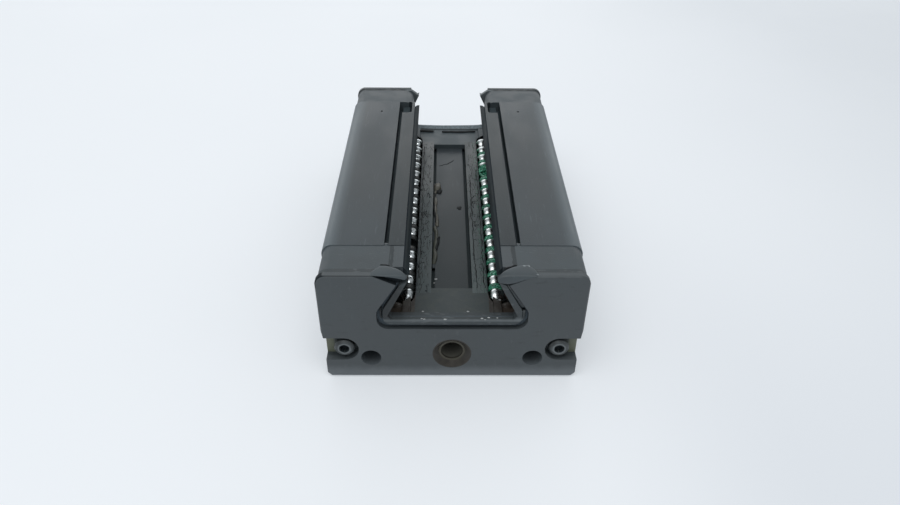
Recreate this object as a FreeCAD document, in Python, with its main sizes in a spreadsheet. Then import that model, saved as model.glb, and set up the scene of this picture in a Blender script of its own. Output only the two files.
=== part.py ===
import FreeCAD, Part
import math
import os
import Sketcher

doc = FreeCAD.newDocument("linear_guide_block")

# Driving dimensions, in millimetres and degrees. The block lies on its mounting face,
# with the rail channel upwards and the rail along Y.
DIMENSIONS = {
    # space of the rail
    "rail_head_width": 33.6,
    "rail_clearance": 0.5,
    "rail_side_height": 2.9,
    "flank_lean": 25.8,
    # balls, spacers and their circuits
    "ball_diameter": 5.5,
    "spacer_web": 0.5,
    "spacer_inset": 0.85,
    "dish_clearance": 0.08,
    "track_clearance": 0.15,
    "row_ball_count": 15,
    "turn_ball_count": 3,
    "upper_row_inset": 4.4,
    "lower_row_inset": 0.8,
    "row_rise": 10.9,
    "upper_tilt": 15,
    "ball_protrusion": 0.95,
    "tube_wall": 0.5,
    "guide_half_height": 1.8,
    # steel body
    "floor_thickness": 15.8,
    "raceway_depth": 1.2,
    "leg_raceway_depth": 1.7,
    "leg_step": 2.5,
    "leg_cover": 7.3,
    "leg_wall": 3.6,
    "leg_round": 3.0,
    "edge_chamfer": 1.0,
    "corner_wall_thickness": 1.7,
    "inner_retainer_reach": 6.6,
    "land_gap": 1.0,
    "land_drop": 1.7,
    "mount_pitch_across": 50,
    "mount_pitch_along": 50,
    "mount_hole_diameter": 6.8,
    "mount_hole_cover": 1.0,
    "mount_hole_chamfer": 0.6,
    "mark_diameter": 0.9,
    "mark_depth": 0.5,
    # strips on the leg tops
    "strip_reach": 1.0,
    "strip_inner_inset": 3.25,
    "strip_thickness": 2.2,
    "strip_gap": 1.2,
    "gap_depth": 1.4,
    "notch_length": 9.0,
    "notch_wall": 0.9,
    "notch_round": 1.3,
    "shelf_reach": 1.4,
    "shelf_lip": 1.5,
    "flange_gap": 0.2,
    "flange_drop": 1.55,
    "tab_length": 9.3,
    "tab_inset": 0.5,
    "side_lip_reach": 1.5,
    "side_lip_depth": 2.8,
    "side_lip_set": 0.2,
    "side_lip_fall": 1.0,
    "side_lip_edge": 0.4,
    "side_lip_over": 2.4,
    "side_lip_point": 6.4,
    # end caps
    "cap_thickness": 10.1,
    "cap_lift": 0.5,
    "cap_inset": 0.6,
    "cap_set": 0.4,
    "cap_drop": 0.1,
    "cap_chamfer": 1.1,
    "cap_tip_relief": 0.65,
    "cap_tip_round": 2.8,
    "cap_tip_drop": 4.8,
    "cap_knee_rise": 1.0,
    "cap_relief": 0.9,
    "side_step_height": 13.8,
    "side_step_rise": 3.0,
    "floor_tongue_length": 2.1,
    "tongue_half_width": 1.4,
    "tongue_top_half_width": 1.05,
    "tongue_rise": 0.7,
    "tongue_root": 1.0,
    # end seals
    "lip_thickness": 1.5,
    "plate_thickness": 1.6,
    "plate_edge_chamfer": 0.4,
    "plate_tip_inset": 3.5,
    "far_plate_reach": 2.7,
    "lip_bite": 0.15,
    "lip_rise": 1.7,
    "far_lip_rise": 0.1,
    "lip_corner": 0.9,
    "lip_knee_rise": 0.2,
    "lip_tip_width": 5.2,
    "lip_tip_round": 10.0,
    "far_tip_width": 2.7,
    "far_tip_round": 1.2,
    "mouth_drop": 2.1,
    "band_drop": 3.1,
    "band_tip_reach": 1.3,
    "band_corner_reach": 0.9,
    "band_knee_rise": 2.0,
    "band_foot": 1.55,
    "band_round": 2.2,
    "groove_width": 0.85,
    "groove_foot": 1.7,
    "groove_round": 3.2,
    # screws, lubrication port and accessory holes of an end
    "screw_inset": 5.8,
    "screw_height": 10.45,
    "screw_diameter": 3.0,
    "screw_fit": 0.02,
    "screw_hole_diameter": 3.4,
    "screw_head_diameter": 5.5,
    "screw_head_height": 3.0,
    "screw_head_chamfer": 0.5,
    "screw_socket_width": 2.5,
    "screw_socket_depth": 1.5,
    "screw_engagement": 8.0,
    "thread_runout": 1.0,
    "recess_radius": 3.95,
    "port_height": 8.75,
    "port_diameter": 6.0,
    "port_chamfer": 0.4,
    "port_rim": 0.5,
    "port_rim_depth": 1.3,
    "port_countersink": 10.0,
    "bush_diameter": 10.6,
    "bush_seat_depth": 5.0,
    "grease_hole_diameter": 2.4,
    "grease_groove_width": 1.6,
    "grease_groove_depth": 0.8,
    "accessory_inset": 12.95,
    "accessory_height": 7.2,
    "accessory_diameter": 5.5,
    "accessory_depth": 8.0,
}

# Places that follow from the driving dimensions. Each formula may use those above it.
LAYOUT = {
    "ball_radius": "=dims.ball_diameter / 2",
    "pitch": "=dims.ball_diameter + dims.spacer_web",
    "row_count": "=round(dims.row_ball_count)",
    "turn_count": "=round(dims.turn_ball_count)",
    "turn_step": "=180 / turn_count",
    "turn_radius": "=pitch / (2 * sin(turn_step * 0.5 * 1 deg))",
    "spacer_turn_radius": "=turn_radius * cos(turn_step * 0.5 * 1 deg)",
    "row_half": "=pitch * row_count / 2",
    "track_radius": "=ball_radius + dims.track_clearance",
    "bore_radius": "=track_radius + dims.tube_wall",
    "guide_rim": "=turn_radius - sqrt(track_radius ^ 2 - dims.guide_half_height ^ 2)",
    "spacer_radius": "=ball_radius - dims.spacer_inset",
    "dish_radius": "=ball_radius + dims.dish_clearance",
    "spacer_half_web": "=pitch / 2 - dish_radius",
    "spacer_half_rim": "=pitch / 2 - sqrt(dish_radius ^ 2 - spacer_radius ^ 2)",
    "rail_half": "=dims.rail_head_width / 2",
    "clear_x": "=rail_half + dims.rail_clearance",
    "flank_slope": "=tan(dims.flank_lean * 1 deg)",
    "upper_row_x": "=rail_half - dims.upper_row_inset",
    "upper_row_z": "=dims.floor_thickness + track_radius - dims.raceway_depth",
    "lower_row_x": "=rail_half - dims.lower_row_inset",
    "lower_row_z": "=upper_row_z + dims.row_rise",
    "upper_reach": "=turn_radius * cos(dims.upper_tilt * 1 deg)",
    "upper_fall": "=turn_radius * sin(dims.upper_tilt * 1 deg)",
    "upper_turn_x": "=upper_row_x + upper_reach",
    "upper_turn_z": "=upper_row_z - upper_fall",
    "upper_return_x": "=upper_row_x + 2 * upper_reach",
    "upper_return_z": "=upper_row_z - 2 * upper_fall",
    "lower_turn_x": "=lower_row_x + turn_radius",
    "lower_return_x": "=lower_row_x + 2 * turn_radius",
    "channel_floor": "=upper_row_z + ball_radius - dims.ball_protrusion",
    "rail_knee": "=channel_floor + dims.rail_side_height",
    "block_half": "=lower_return_x + bore_radius + dims.leg_wall",
    "block_height": "=lower_row_z + dims.leg_cover",
    "corner_wall": "=clear_x + dims.corner_wall_thickness",
    "step_height": "=lower_row_z - dims.leg_step",
    "leg_inner": "=lower_row_x + track_radius - dims.leg_raceway_depth",
    "shelf_height": "=block_height - dims.strip_thickness",
    "shelf_inner": "=lower_row_x - dims.shelf_reach",
    "strip_outer": "=lower_row_x + dims.strip_reach",
    "strip_inner": "=lower_row_x - dims.strip_inner_inset",
    "gap_outer": "=strip_outer + dims.strip_gap",
    "retainer_inner": "=upper_row_x - dims.inner_retainer_reach",
    "land_half": "=retainer_inner - dims.land_gap",
    "land_height": "=channel_floor - dims.land_drop",
    "mount_hole_depth": "=upper_return_z - bore_radius - dims.mount_hole_cover",
    "cap_half": "=block_half - dims.cap_inset",
    "cap_side": "=block_half - dims.cap_set",
    "cap_top": "=block_height - dims.cap_drop",
    "cap_tip": "=strip_inner + dims.cap_tip_relief",
    "cap_corner": "=clear_x + dims.cap_relief",
    "step_top": "=dims.side_step_height + dims.side_step_rise",
    "mouth_height": "=block_height - dims.mouth_drop",
    "band_height": "=block_height - dims.band_drop",
    "lip_floor": "=channel_floor + dims.lip_rise",
    "far_lip_floor": "=channel_floor + dims.far_lip_rise",
    "screw_x": "=block_half - dims.screw_inset",
    "accessory_x": "=block_half - dims.accessory_inset",
    "lip_seat": "=row_half + dims.cap_thickness",
    "plate_seat": "=lip_seat + dims.lip_thickness",
    "end_face": "=plate_seat + dims.plate_thickness",
}

# Place of the small mark on each leg top, measured from the strip gap and from the far end.
MARK_FROM_GAP = 6.2
MARK_FROM_END = 8.1

# Each visible row has lost one ball. The count is of the balls before the lost one, from the near end.
BALL_COUNT_BEFORE_LOSS = {"right": 11, "left": 4}

SIDES = {"right": 1, "left": -1}
ENDS = {"front": -1, "rear": 1}


def fill_sheet(name, cells):
    """Sheet with one named cell for each entry."""
    sheet = doc.addObject("Spreadsheet::Sheet", name)
    for row, (alias, content) in enumerate(cells.items(), start=1):
        sheet.set("A%d" % row, alias)
        sheet.set("B%d" % row, str(content))
        sheet.setAlias("B%d" % row, alias)
    doc.recompute()
    return sheet


dims = fill_sheet("dims", DIMENSIONS)
fill_sheet("layout", LAYOUT)
parts = {}


def value(expression):
    """Number that an expression has with the present sheets."""
    result = dims.evalExpression(expression)
    return float(getattr(result, "Value", result))


def signed(side, expression):
    """Expression taken to the right or to the left of the middle plane."""
    return expression if side > 0 else "-(%s)" % expression


def flank(height, offset):
    """Distance from the middle of a line that runs along the rail flank."""
    fall = "(%s - layout.rail_knee) * layout.flank_slope" % height
    return "layout.clear_x - %s + %s" % (fall, offset)


def both_sides(half):
    """Closed outline from its right half, which runs from bottom to middle."""
    left = [(signed(-1, across), up) for across, up in reversed(half)]
    return half + left


def on_side(side, corners):
    """Outline of a piece of one side, from the outline of the right one."""
    return [(signed(side, across), up) for across, up in corners]


# Bodies, sketches and features


def new_body(label):
    body = doc.addObject("PartDesign::Body", label)
    body.Label = label
    parts[label] = body
    return body


def origin_feature(body, role):
    return [item for item in body.Origin.OriginFeatures if item.Role == role][0]


def new_sketch(body, name, plane="XZ_Plane", offset=None):
    """Sketch on an origin plane, moved along the plane's normal."""
    sketch = body.newObject("Sketcher::SketchObject", name)
    sketch.AttachmentSupport = [(origin_feature(body, plane), "")]
    sketch.MapMode = "FlatFace"
    if offset:
        sketch.setExpression("AttachmentOffset.Base.z", offset)
    return sketch


def constrain(sketch, constraint, expression):
    """Constraint whose size follows the sheets."""
    index = sketch.addConstraint(constraint)
    sketch.setExpression("Constraints[%d]" % index, expression)


def pin(sketch, geometry, point, across, up):
    """Hold a sketch point at the place that two expressions give."""
    for kind, axis, expression in (("DistanceX", -2, across), ("DistanceY", -1, up)):
        if expression == "0":
            sketch.addConstraint(Sketcher.Constraint("PointOnObject", geometry, point, axis))
        else:
            place = value(expression)
            constraint = Sketcher.Constraint(kind, -1, 1, geometry, point, place)
            constrain(sketch, constraint, expression)


def arc_between(start, end, radius, turn):
    """Arc of a circle from start to end, to the left of them if turn is 1."""
    chord = end - start
    middle = (start + end) * 0.5
    normal = FreeCAD.Vector(-chord.y, chord.x, 0).normalize()
    rise = math.sqrt(max(radius ** 2 - (chord.Length / 2) ** 2, 0))
    centre = middle + normal * (rise * turn)
    bulge = (middle - centre).normalize() if rise else normal * -turn
    return Part.Arc(start, centre + bulge * radius, end)


def draw_outline(sketch, corners, arcs=None):
    """Closed outline through the corners.

    arcs gives, for a corner's number, the radius and turn of the arc that
    leads from it to the next corner.
    """
    arcs = arcs or {}
    spots = [FreeCAD.Vector(value(across), value(up), 0) for across, up in corners]
    count = len(spots)
    ends = []
    for number, start in enumerate(spots):
        stop = spots[(number + 1) % count]
        if number in arcs:
            radius, turn = arcs[number]
            piece = arc_between(start, stop, value(radius), turn)
            first = sketch.addGeometry(piece)
            constrain(sketch, Sketcher.Constraint("Radius", first, value(radius)), radius)
            ends.append((first, 1, 2) if turn > 0 else (first, 2, 1))
        else:
            ends.append((sketch.addGeometry(Part.LineSegment(start, stop)), 1, 2))
    for number, (across, up) in enumerate(corners):
        geometry, begin, _ = ends[number]
        before, _, finish = ends[number - 1]
        sketch.addConstraint(Sketcher.Constraint("Coincident", before, finish, geometry, begin))
        pin(sketch, geometry, begin, across, up)


def draw_circles(sketch, centres, radius):
    for across, up in centres:
        centre = FreeCAD.Vector(value(across), value(up), 0)
        circle = Part.Circle(centre, FreeCAD.Vector(0, 0, 1), value(radius))
        geometry = sketch.addGeometry(circle)
        pin(sketch, geometry, 3, across, up)
        constrain(sketch, Sketcher.Constraint("Radius", geometry, value(radius)), radius)


def pad(body, name, sketch, length, side_type="One side", reverse=False):
    feature = body.newObject("PartDesign::Pad", name)
    feature.Profile = sketch
    feature.SideType = side_type
    feature.Reversed = reverse
    feature.setExpression("Length", length)
    return feature


def pocket(body, name, sketch, length, side_type="One side", reverse=False):
    feature = body.newObject("PartDesign::Pocket", name)
    feature.Profile = sketch
    feature.SideType = side_type
    feature.Reversed = reverse
    feature.setExpression("Length", length)
    return feature


def revolve(body, name, sketch, angle, kind="Revolution", reverse=False):
    feature = body.newObject("PartDesign::" + kind, name)
    feature.Profile = sketch
    feature.ReferenceAxis = (sketch, ["V_Axis"])
    feature.Angle = angle
    feature.Reversed = reverse
    return feature


def edges_along(shape, places):
    """Names of the straight edges along Y that pass through the places."""
    names = []
    for number, edge in enumerate(shape.Edges, start=1):
        start = edge.Vertexes[0].Point
        stop = edge.Vertexes[-1].Point
        if abs(start.x - stop.x) + abs(start.z - stop.z) > 0.01:
            continue
        if any(math.hypot(start.x - x, start.z - z) < 0.02 for x, z in places):
            names.append("Edge%d" % number)
    return names


def round_edges(body, name, radius, places):
    """Round the edges along Y at the places and at their mirror images."""
    doc.recompute()
    spots = [(side * value(across), value(up)) for across, up in places for side in (1, -1)]
    base = body.Tip
    feature = body.newObject("PartDesign::Fillet", name)
    feature.Base = (base, edges_along(base.Shape, spots))
    feature.setExpression("Radius", radius)
    return feature


def break_edges(body, name, size, along, lowest, innermost):
    """Chamfer the outer edges of an end face, above a height and outside a distance."""
    doc.recompute()
    base = body.Tip
    names = []
    for number, edge in enumerate(base.Shape.Edges, start=1):
        middle = edge.valueAt((edge.FirstParameter + edge.LastParameter) / 2)
        flat = all(abs(vertex.Y - value(along)) < 0.001 for vertex in edge.Vertexes)
        if flat and middle.z > value(lowest) and abs(middle.x) > value(innermost):
            names.append("Edge%d" % number)
    feature = body.newObject("PartDesign::Chamfer", name)
    feature.Base = (base, names)
    feature.setExpression("Size", size)
    return feature


def place(body, across="0", along="0", up="0", yaw=0, pitch=None, roll=0):
    """Placement with its position and its tilt bound to the sheets."""
    tilt = value(pitch) if pitch else 0
    body.Placement.Rotation = FreeCAD.Rotation(yaw, tilt, roll)
    for axis, expression in (("x", across), ("y", along), ("z", up)):
        body.setExpression("Placement.Base." + axis, expression)


def place_end(body, end, seat):
    """Put a piece that was drawn for the front end onto either end."""
    yaw = 0 if end < 0 else 180
    along = seat if end > 0 else "-(%s)" % seat
    place(body, along=along, yaw=yaw)


def place_on_axis(body, side, end, across, along, up):
    """Turn a piece drawn upright so that its top points out of an end."""
    roll = 90 if end < 0 else -90
    reach = along if end > 0 else "-(%s)" % along
    place(body, across=signed(side, across), along=reach, up=up, roll=roll)


# Steel body: channel section, raceways, return bores and threaded holes

body = new_body("carriage_body")
section = new_sketch(body, "channel_section")
draw_outline(section, both_sides([
    ("layout.block_half - dims.edge_chamfer", "0"),
    ("layout.block_half", "dims.edge_chamfer"),
    ("layout.block_half", "layout.block_height"),
    ("layout.gap_outer", "layout.block_height"),
    ("layout.gap_outer", "layout.shelf_height - dims.gap_depth"),
    ("layout.strip_outer", "layout.shelf_height - dims.gap_depth"),
    ("layout.strip_outer", "layout.shelf_height"),
    ("layout.shelf_inner", "layout.shelf_height"),
    ("layout.shelf_inner", "layout.shelf_height - dims.shelf_lip"),
    ("layout.leg_inner", "layout.lower_row_z"),
    ("layout.leg_inner", "layout.step_height"),
    ("layout.corner_wall", "layout.step_height"),
    ("layout.corner_wall", "dims.floor_thickness"),
    ("layout.land_half", "dims.floor_thickness"),
    ("layout.land_half", "layout.land_height"),
]))
pad(body, "block_pad", section, "2 * layout.row_half", "Symmetric")
round_edges(body, "leg_rounds", "dims.leg_round", [("layout.block_half", "layout.block_height")])

UPPER_ROW = ("layout.upper_row_x", "layout.upper_row_z")
LOWER_ROW = ("layout.lower_row_x", "layout.lower_row_z")
UPPER_RETURN = ("layout.upper_return_x", "layout.upper_return_z")
LOWER_RETURN = ("layout.lower_return_x", "layout.lower_row_z")
SCREW = ("layout.screw_x", "dims.screw_height")
ACCESSORY = ("layout.accessory_x", "dims.accessory_height")


def pair(spot):
    return both_sides([spot])


raceways = new_sketch(body, "raceways")
draw_circles(raceways, pair(UPPER_ROW) + pair(LOWER_ROW), "layout.track_radius")
pocket(body, "raceway_cut", raceways, "2 * layout.row_half", "Symmetric")

bores = new_sketch(body, "return_bores")
draw_circles(bores, pair(UPPER_RETURN) + pair(LOWER_RETURN), "layout.bore_radius")
pocket(body, "bore_cut", bores, "2 * layout.row_half", "Symmetric")

threads = new_sketch(body, "screw_threads", offset="layout.row_half")
draw_circles(threads, pair(SCREW), "dims.screw_diameter / 2 + dims.screw_fit")
thread_cut = pocket(body, "thread_cut", threads, "dims.screw_engagement + dims.thread_runout")
far_threads = body.newObject("PartDesign::Mirrored", "far_threads")
far_threads.Originals = [thread_cut]
far_threads.MirrorPlane = (origin_feature(body, "XZ_Plane"), [""])
body.Tip = far_threads

mount_half = ("dims.mount_pitch_across / 2", "dims.mount_pitch_along / 2")
mounts = new_sketch(body, "mount_holes", "XY_Plane")
mount_spots = pair(mount_half) + pair((mount_half[0], "-(%s)" % mount_half[1]))
draw_circles(mounts, mount_spots, "dims.mount_hole_diameter / 2")
pocket(body, "mount_cut", mounts, "layout.mount_hole_depth", reverse=True)

mark_x = "layout.gap_outer + %s" % MARK_FROM_GAP
mark_y = "layout.row_half - %s" % MARK_FROM_END
marks = new_sketch(body, "leg_marks", "XY_Plane", "layout.block_height")
draw_circles(marks, pair((mark_x, mark_y)), "dims.mark_diameter / 2")
mark_cut = pocket(body, "mark_cut", marks, "dims.mark_depth")

doc.recompute()
mouths = []
for number, edge in enumerate(body.Tip.Shape.Edges, start=1):
    is_circle = isinstance(edge.Curve, Part.Circle)
    if is_circle and abs(edge.Curve.Center.z) < 0.001 and abs(edge.Curve.Axis.z) > 0.99:
        mouths.append("Edge%d" % number)
mouth_chamfer = body.newObject("PartDesign::Chamfer", "mouth_chamfer")
mouth_chamfer.Base = (mark_cut, mouths)
mouth_chamfer.setExpression("Size", "dims.mount_hole_chamfer")

# Strips that line the channel and hold the balls on their raceways

for side_name, side in SIDES.items():
    body = new_body("inner_retainer_" + side_name)
    section = new_sketch(body, body.Label + "_section")
    draw_outline(section, on_side(side, [
        ("layout.retainer_inner", "dims.floor_thickness"),
        ("layout.upper_row_x", "dims.floor_thickness"),
        ("layout.upper_row_x", "layout.channel_floor"),
        ("layout.retainer_inner", "layout.channel_floor"),
    ]))
    pad(body, body.Label + "_pad", section, "2 * layout.row_half", "Symmetric")
    track = new_sketch(body, body.Label + "_track")
    draw_circles(track, on_side(side, [UPPER_ROW]), "layout.track_radius")
    pocket(body, body.Label + "_cut", track, "2 * layout.row_half", "Symmetric")

    body = new_body("corner_retainer_" + side_name)
    section = new_sketch(body, body.Label + "_section")
    draw_outline(section, on_side(side, [
        ("layout.upper_row_x", "dims.floor_thickness"),
        ("layout.corner_wall", "dims.floor_thickness"),
        ("layout.corner_wall", "layout.step_height"),
        (flank("layout.step_height", 0), "layout.step_height"),
        ("layout.clear_x", "layout.rail_knee"),
        ("layout.clear_x", "layout.channel_floor"),
        ("layout.upper_row_x", "layout.channel_floor"),
    ]))
    pad(body, body.Label + "_pad", section, "2 * layout.row_half", "Symmetric")
    track = new_sketch(body, body.Label + "_tracks")
    draw_circles(track, on_side(side, [UPPER_ROW, LOWER_ROW]), "layout.track_radius")
    pocket(body, body.Label + "_cut", track, "2 * layout.row_half", "Symmetric")

# Liners of the return bores

for row_name, spot in (("upper", UPPER_RETURN), ("lower", LOWER_RETURN)):
    for side_name, side in SIDES.items():
        body = new_body("return_tube_%s_%s" % (row_name, side_name))
        ring = new_sketch(body, body.Label + "_ring")
        draw_circles(ring, on_side(side, [spot]), "layout.bore_radius")
        draw_circles(ring, on_side(side, [spot]), "layout.track_radius")
        pad(body, body.Label + "_pad", ring, "2 * layout.row_half", "Symmetric")

# Strips on the leg tops with their rubber lips

flange_tip = "layout.lower_row_z + dims.flange_drop"
flange_outer = "layout.shelf_inner - dims.flange_gap"
tab_outer = "layout.strip_outer - dims.tab_inset"
strip_knee = "layout.lower_row_z + 2 * dims.flange_drop"
tab_section = [
    ("layout.strip_inner", "layout.shelf_height"),
    (tab_outer, "layout.shelf_height"),
    (tab_outer, "layout.cap_top"),
    ("layout.strip_inner", "layout.cap_top"),
]
notch_inner = "layout.strip_inner + dims.notch_wall"
notch_start = "layout.row_half - dims.notch_length"
notch_outline = [
    ("layout.gap_outer", notch_start),
    (notch_inner + " + dims.notch_round", notch_start),
    (notch_inner, notch_start + " + dims.notch_round"),
    (notch_inner, "layout.row_half - dims.notch_round"),
    (notch_inner + " + dims.notch_round", "layout.row_half"),
    ("layout.gap_outer", "layout.row_half"),
]

for side_name, side in SIDES.items():
    body = new_body("side_seal_" + side_name)
    section = new_sketch(body, body.Label + "_section")
    draw_outline(section, on_side(side, [
        ("layout.strip_outer", "layout.block_height"),
        ("layout.strip_inner", "layout.block_height"),
        ("layout.strip_inner", strip_knee),
        (flank(flange_tip, 0), flange_tip),
        (flange_outer, flange_tip + " + dims.strip_reach"),
        (flange_outer, "layout.shelf_height"),
        ("layout.strip_outer", "layout.shelf_height"),
    ]))
    pad(body, body.Label + "_pad", section, "2 * layout.row_half", "Symmetric")
    track = new_sketch(body, body.Label + "_track")
    draw_circles(track, on_side(side, [LOWER_ROW]), "layout.track_radius")
    pocket(body, body.Label + "_cut", track, "2 * layout.row_half", "Symmetric")
    notch = new_sketch(body, body.Label + "_notch", "XY_Plane", "layout.block_height")
    bend = ("dims.notch_round", -side)
    draw_outline(notch, on_side(side, notch_outline), {1: bend, 3: bend})
    pocket(body, body.Label + "_notch_cut", notch, "dims.strip_thickness")
    tab = new_sketch(body, body.Label + "_tab", offset="layout.row_half")
    draw_outline(tab, on_side(side, tab_section))
    pad(body, body.Label + "_tab_pad", tab, "dims.tab_length")

    body = new_body("side_lip_" + side_name)
    near_end = "layout.row_half + dims.tab_length"
    section = new_sketch(body, body.Label + "_section", offset=near_end)
    lip_edge = "layout.strip_inner - dims.side_lip_reach"
    lip_foot = "layout.block_height - dims.side_lip_depth"
    draw_outline(section, on_side(side, [
        ("layout.strip_inner", "layout.block_height - dims.side_lip_set"),
        ("layout.strip_inner", lip_foot),
        (lip_edge + " + dims.side_lip_edge / 2", lip_foot),
        (lip_edge, lip_foot + " + dims.side_lip_edge"),
        ("layout.strip_inner - dims.side_lip_reach / 2", "layout.block_height - dims.side_lip_fall"),
    ]))
    far_end = "layout.row_half + dims.side_lip_over"
    pad(body, body.Label + "_pad", section, near_end + " + " + far_end, reverse=True)
    point = new_sketch(body, body.Label + "_point", "XY_Plane", "layout.block_height")
    draw_outline(point, on_side(side, [
        ("layout.strip_inner", far_end + " - dims.side_lip_point"),
        ("layout.strip_inner", far_end),
        (lip_edge, far_end),
    ]))
    pocket(body, body.Label + "_point_cut", point, "dims.side_lip_depth")

# Turns in the end caps: a half ring for the balls round a spool shaped inner guide

TURNS = {
    "upper": ("layout.upper_turn_x", "layout.upper_turn_z", "dims.upper_tilt"),
    "lower": ("layout.lower_turn_x", "layout.lower_row_z", "0"),
}


def turn_sketch(body, name, side, row_name):
    """Sketch whose middle is a turn's centre and whose left leads to the loaded row."""
    across, up, tilt = TURNS[row_name]
    sketch = new_sketch(body, name)
    sketch.setExpression("AttachmentOffset.Base.x", signed(side, across))
    sketch.setExpression("AttachmentOffset.Base.y", up)
    sketch.setExpression("AttachmentOffset.Rotation.Angle", "-%d * %s * 1 deg" % (side, tilt))
    return sketch


def loaded_way(side, expression):
    return signed(-side, expression)


def cut_turn(body, side_name, row_name):
    side = SIDES[side_name]
    name = "%s_%s" % (row_name, side_name)
    ring = turn_sketch(body, name + "_ring", side, row_name)
    draw_circles(ring, [(loaded_way(side, "layout.turn_radius"), "0")], "layout.track_radius")
    revolve(body, name + "_ring_cut", ring, 180, "Groove", side < 0)
    seat = turn_sketch(body, name + "_seat", side, row_name)
    rim = loaded_way(side, "layout.guide_rim")
    draw_outline(seat, [
        ("0", "-dims.guide_half_height"),
        (rim, "-dims.guide_half_height"),
        (rim, "dims.guide_half_height"),
        ("0", "dims.guide_half_height"),
    ])
    revolve(body, name + "_seat_cut", seat, 180, "Groove", side < 0)


def turn_guide(label, side, row_name, end):
    """Inner guide of one turn, a half spool with a hollow rim."""
    body = doc.addObject("PartDesign::Body", label)
    spool = turn_sketch(body, label + "_spool", side, row_name)
    rim = loaded_way(side, "layout.guide_rim")
    draw_outline(spool, [
        ("0", "-dims.guide_half_height"),
        (rim, "-dims.guide_half_height"),
        (rim, "dims.guide_half_height"),
        ("0", "dims.guide_half_height"),
    ], {1: ("layout.track_radius", side)})
    revolve(body, label + "_turned", spool, 180, reverse=(side < 0) == (end < 0))
    place(body, along=signed(end, "layout.row_half"))
    return body


for end_name, end in ENDS.items():
    guides = []
    for row_name in TURNS:
        for side_name, side in SIDES.items():
            label = "guide_%s_%s_%s" % (row_name, side_name, end_name)
            guides.append(turn_guide(label, side, row_name, end))
    group = doc.addObject("Part::Compound", "return_guides_" + end_name)
    group.Links = guides
    parts[group.Label] = group

# End caps, end seals, screws and port bushes. Each is drawn for the front end.


def end_outline(side, top):
    """Outer outline of the right half of an end piece, up to its top corner."""
    return [
        ("layout.cap_half - dims.cap_chamfer", "dims.cap_lift"),
        ("layout.cap_half", "dims.cap_lift + dims.cap_chamfer"),
        ("layout.cap_half", "dims.side_step_height"),
        (side, "layout.step_top"),
        (side, top),
    ]


CAP_OUTLINE = end_outline("layout.cap_side", "layout.cap_top")
PLATE_OUTLINE = end_outline("layout.block_half", "layout.block_height")
PORT = ("0", "dims.port_height")

# The tips of the near lip are bent away and its plate has cut upper corners. The far lip is
# whole and lies lower at the channel floor.
SEALS = {
    "front": {
        "floor": "layout.lip_floor",
        "tip_width": "dims.lip_tip_width",
        "tip_round": "dims.lip_tip_round",
        "plate_tip": "layout.clear_x + dims.plate_tip_inset",
    },
    "rear": {
        "floor": "layout.far_lip_floor",
        "tip_width": "dims.far_tip_width",
        "tip_round": "dims.far_tip_round",
        "plate_tip": "layout.clear_x - dims.far_plate_reach",
    },
}


def lip_opening(floor):
    """Mouth, knee and floor corner of the right half of a lip."""
    knee = "layout.rail_knee + dims.lip_knee_rise"
    return [
        (flank("layout.mouth_height", "-dims.lip_bite"), "layout.mouth_height"),
        (flank(knee, "-dims.lip_bite"), knee),
        (flank(knee, "-dims.lip_bite") + " - dims.lip_corner", floor),
    ]


def band_edge(floor, groove, foot):
    """Outer edge of a lip's raised band, from its foot to its tip, moved outwards."""
    corner = "layout.clear_x + dims.band_corner_reach + " + foot
    return [
        (corner, "%s - dims.band_foot - %s" % (floor, foot)),
        (corner, "layout.rail_knee + dims.band_knee_rise - %s / 2" % groove),
        (flank("layout.band_height", "dims.band_tip_reach + " + groove), "layout.band_height"),
    ]


def screw_recess(side):
    """Slot round a screw head that is open towards the side."""
    low = "dims.screw_height - dims.recess_radius"
    high = "dims.screw_height + dims.recess_radius"
    beyond = "layout.block_half + dims.leg_wall"
    return on_side(side, [
        (beyond, low),
        ("layout.screw_x", low),
        ("layout.screw_x - dims.recess_radius", "dims.screw_height"),
        ("layout.screw_x", high),
        (beyond, high),
    ])


def cut_end_openings(body, length):
    """Screw recesses, accessory holes and port hole of a seal layer."""
    for side_name, side in SIDES.items():
        recess = new_sketch(body, "%s_recess_%s" % (body.Label, side_name))
        bend = ("dims.recess_radius", -side)
        draw_outline(recess, screw_recess(side), {1: bend, 2: bend})
        pocket(body, recess.Label + "_cut", recess, length, reverse=True)
    holes = new_sketch(body, body.Label + "_holes")
    draw_circles(holes, pair(ACCESSORY), "dims.accessory_diameter / 2")
    draw_circles(holes, [PORT], "dims.bush_diameter / 2")
    pocket(body, body.Label + "_hole_cut", holes, length, reverse=True)


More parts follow.
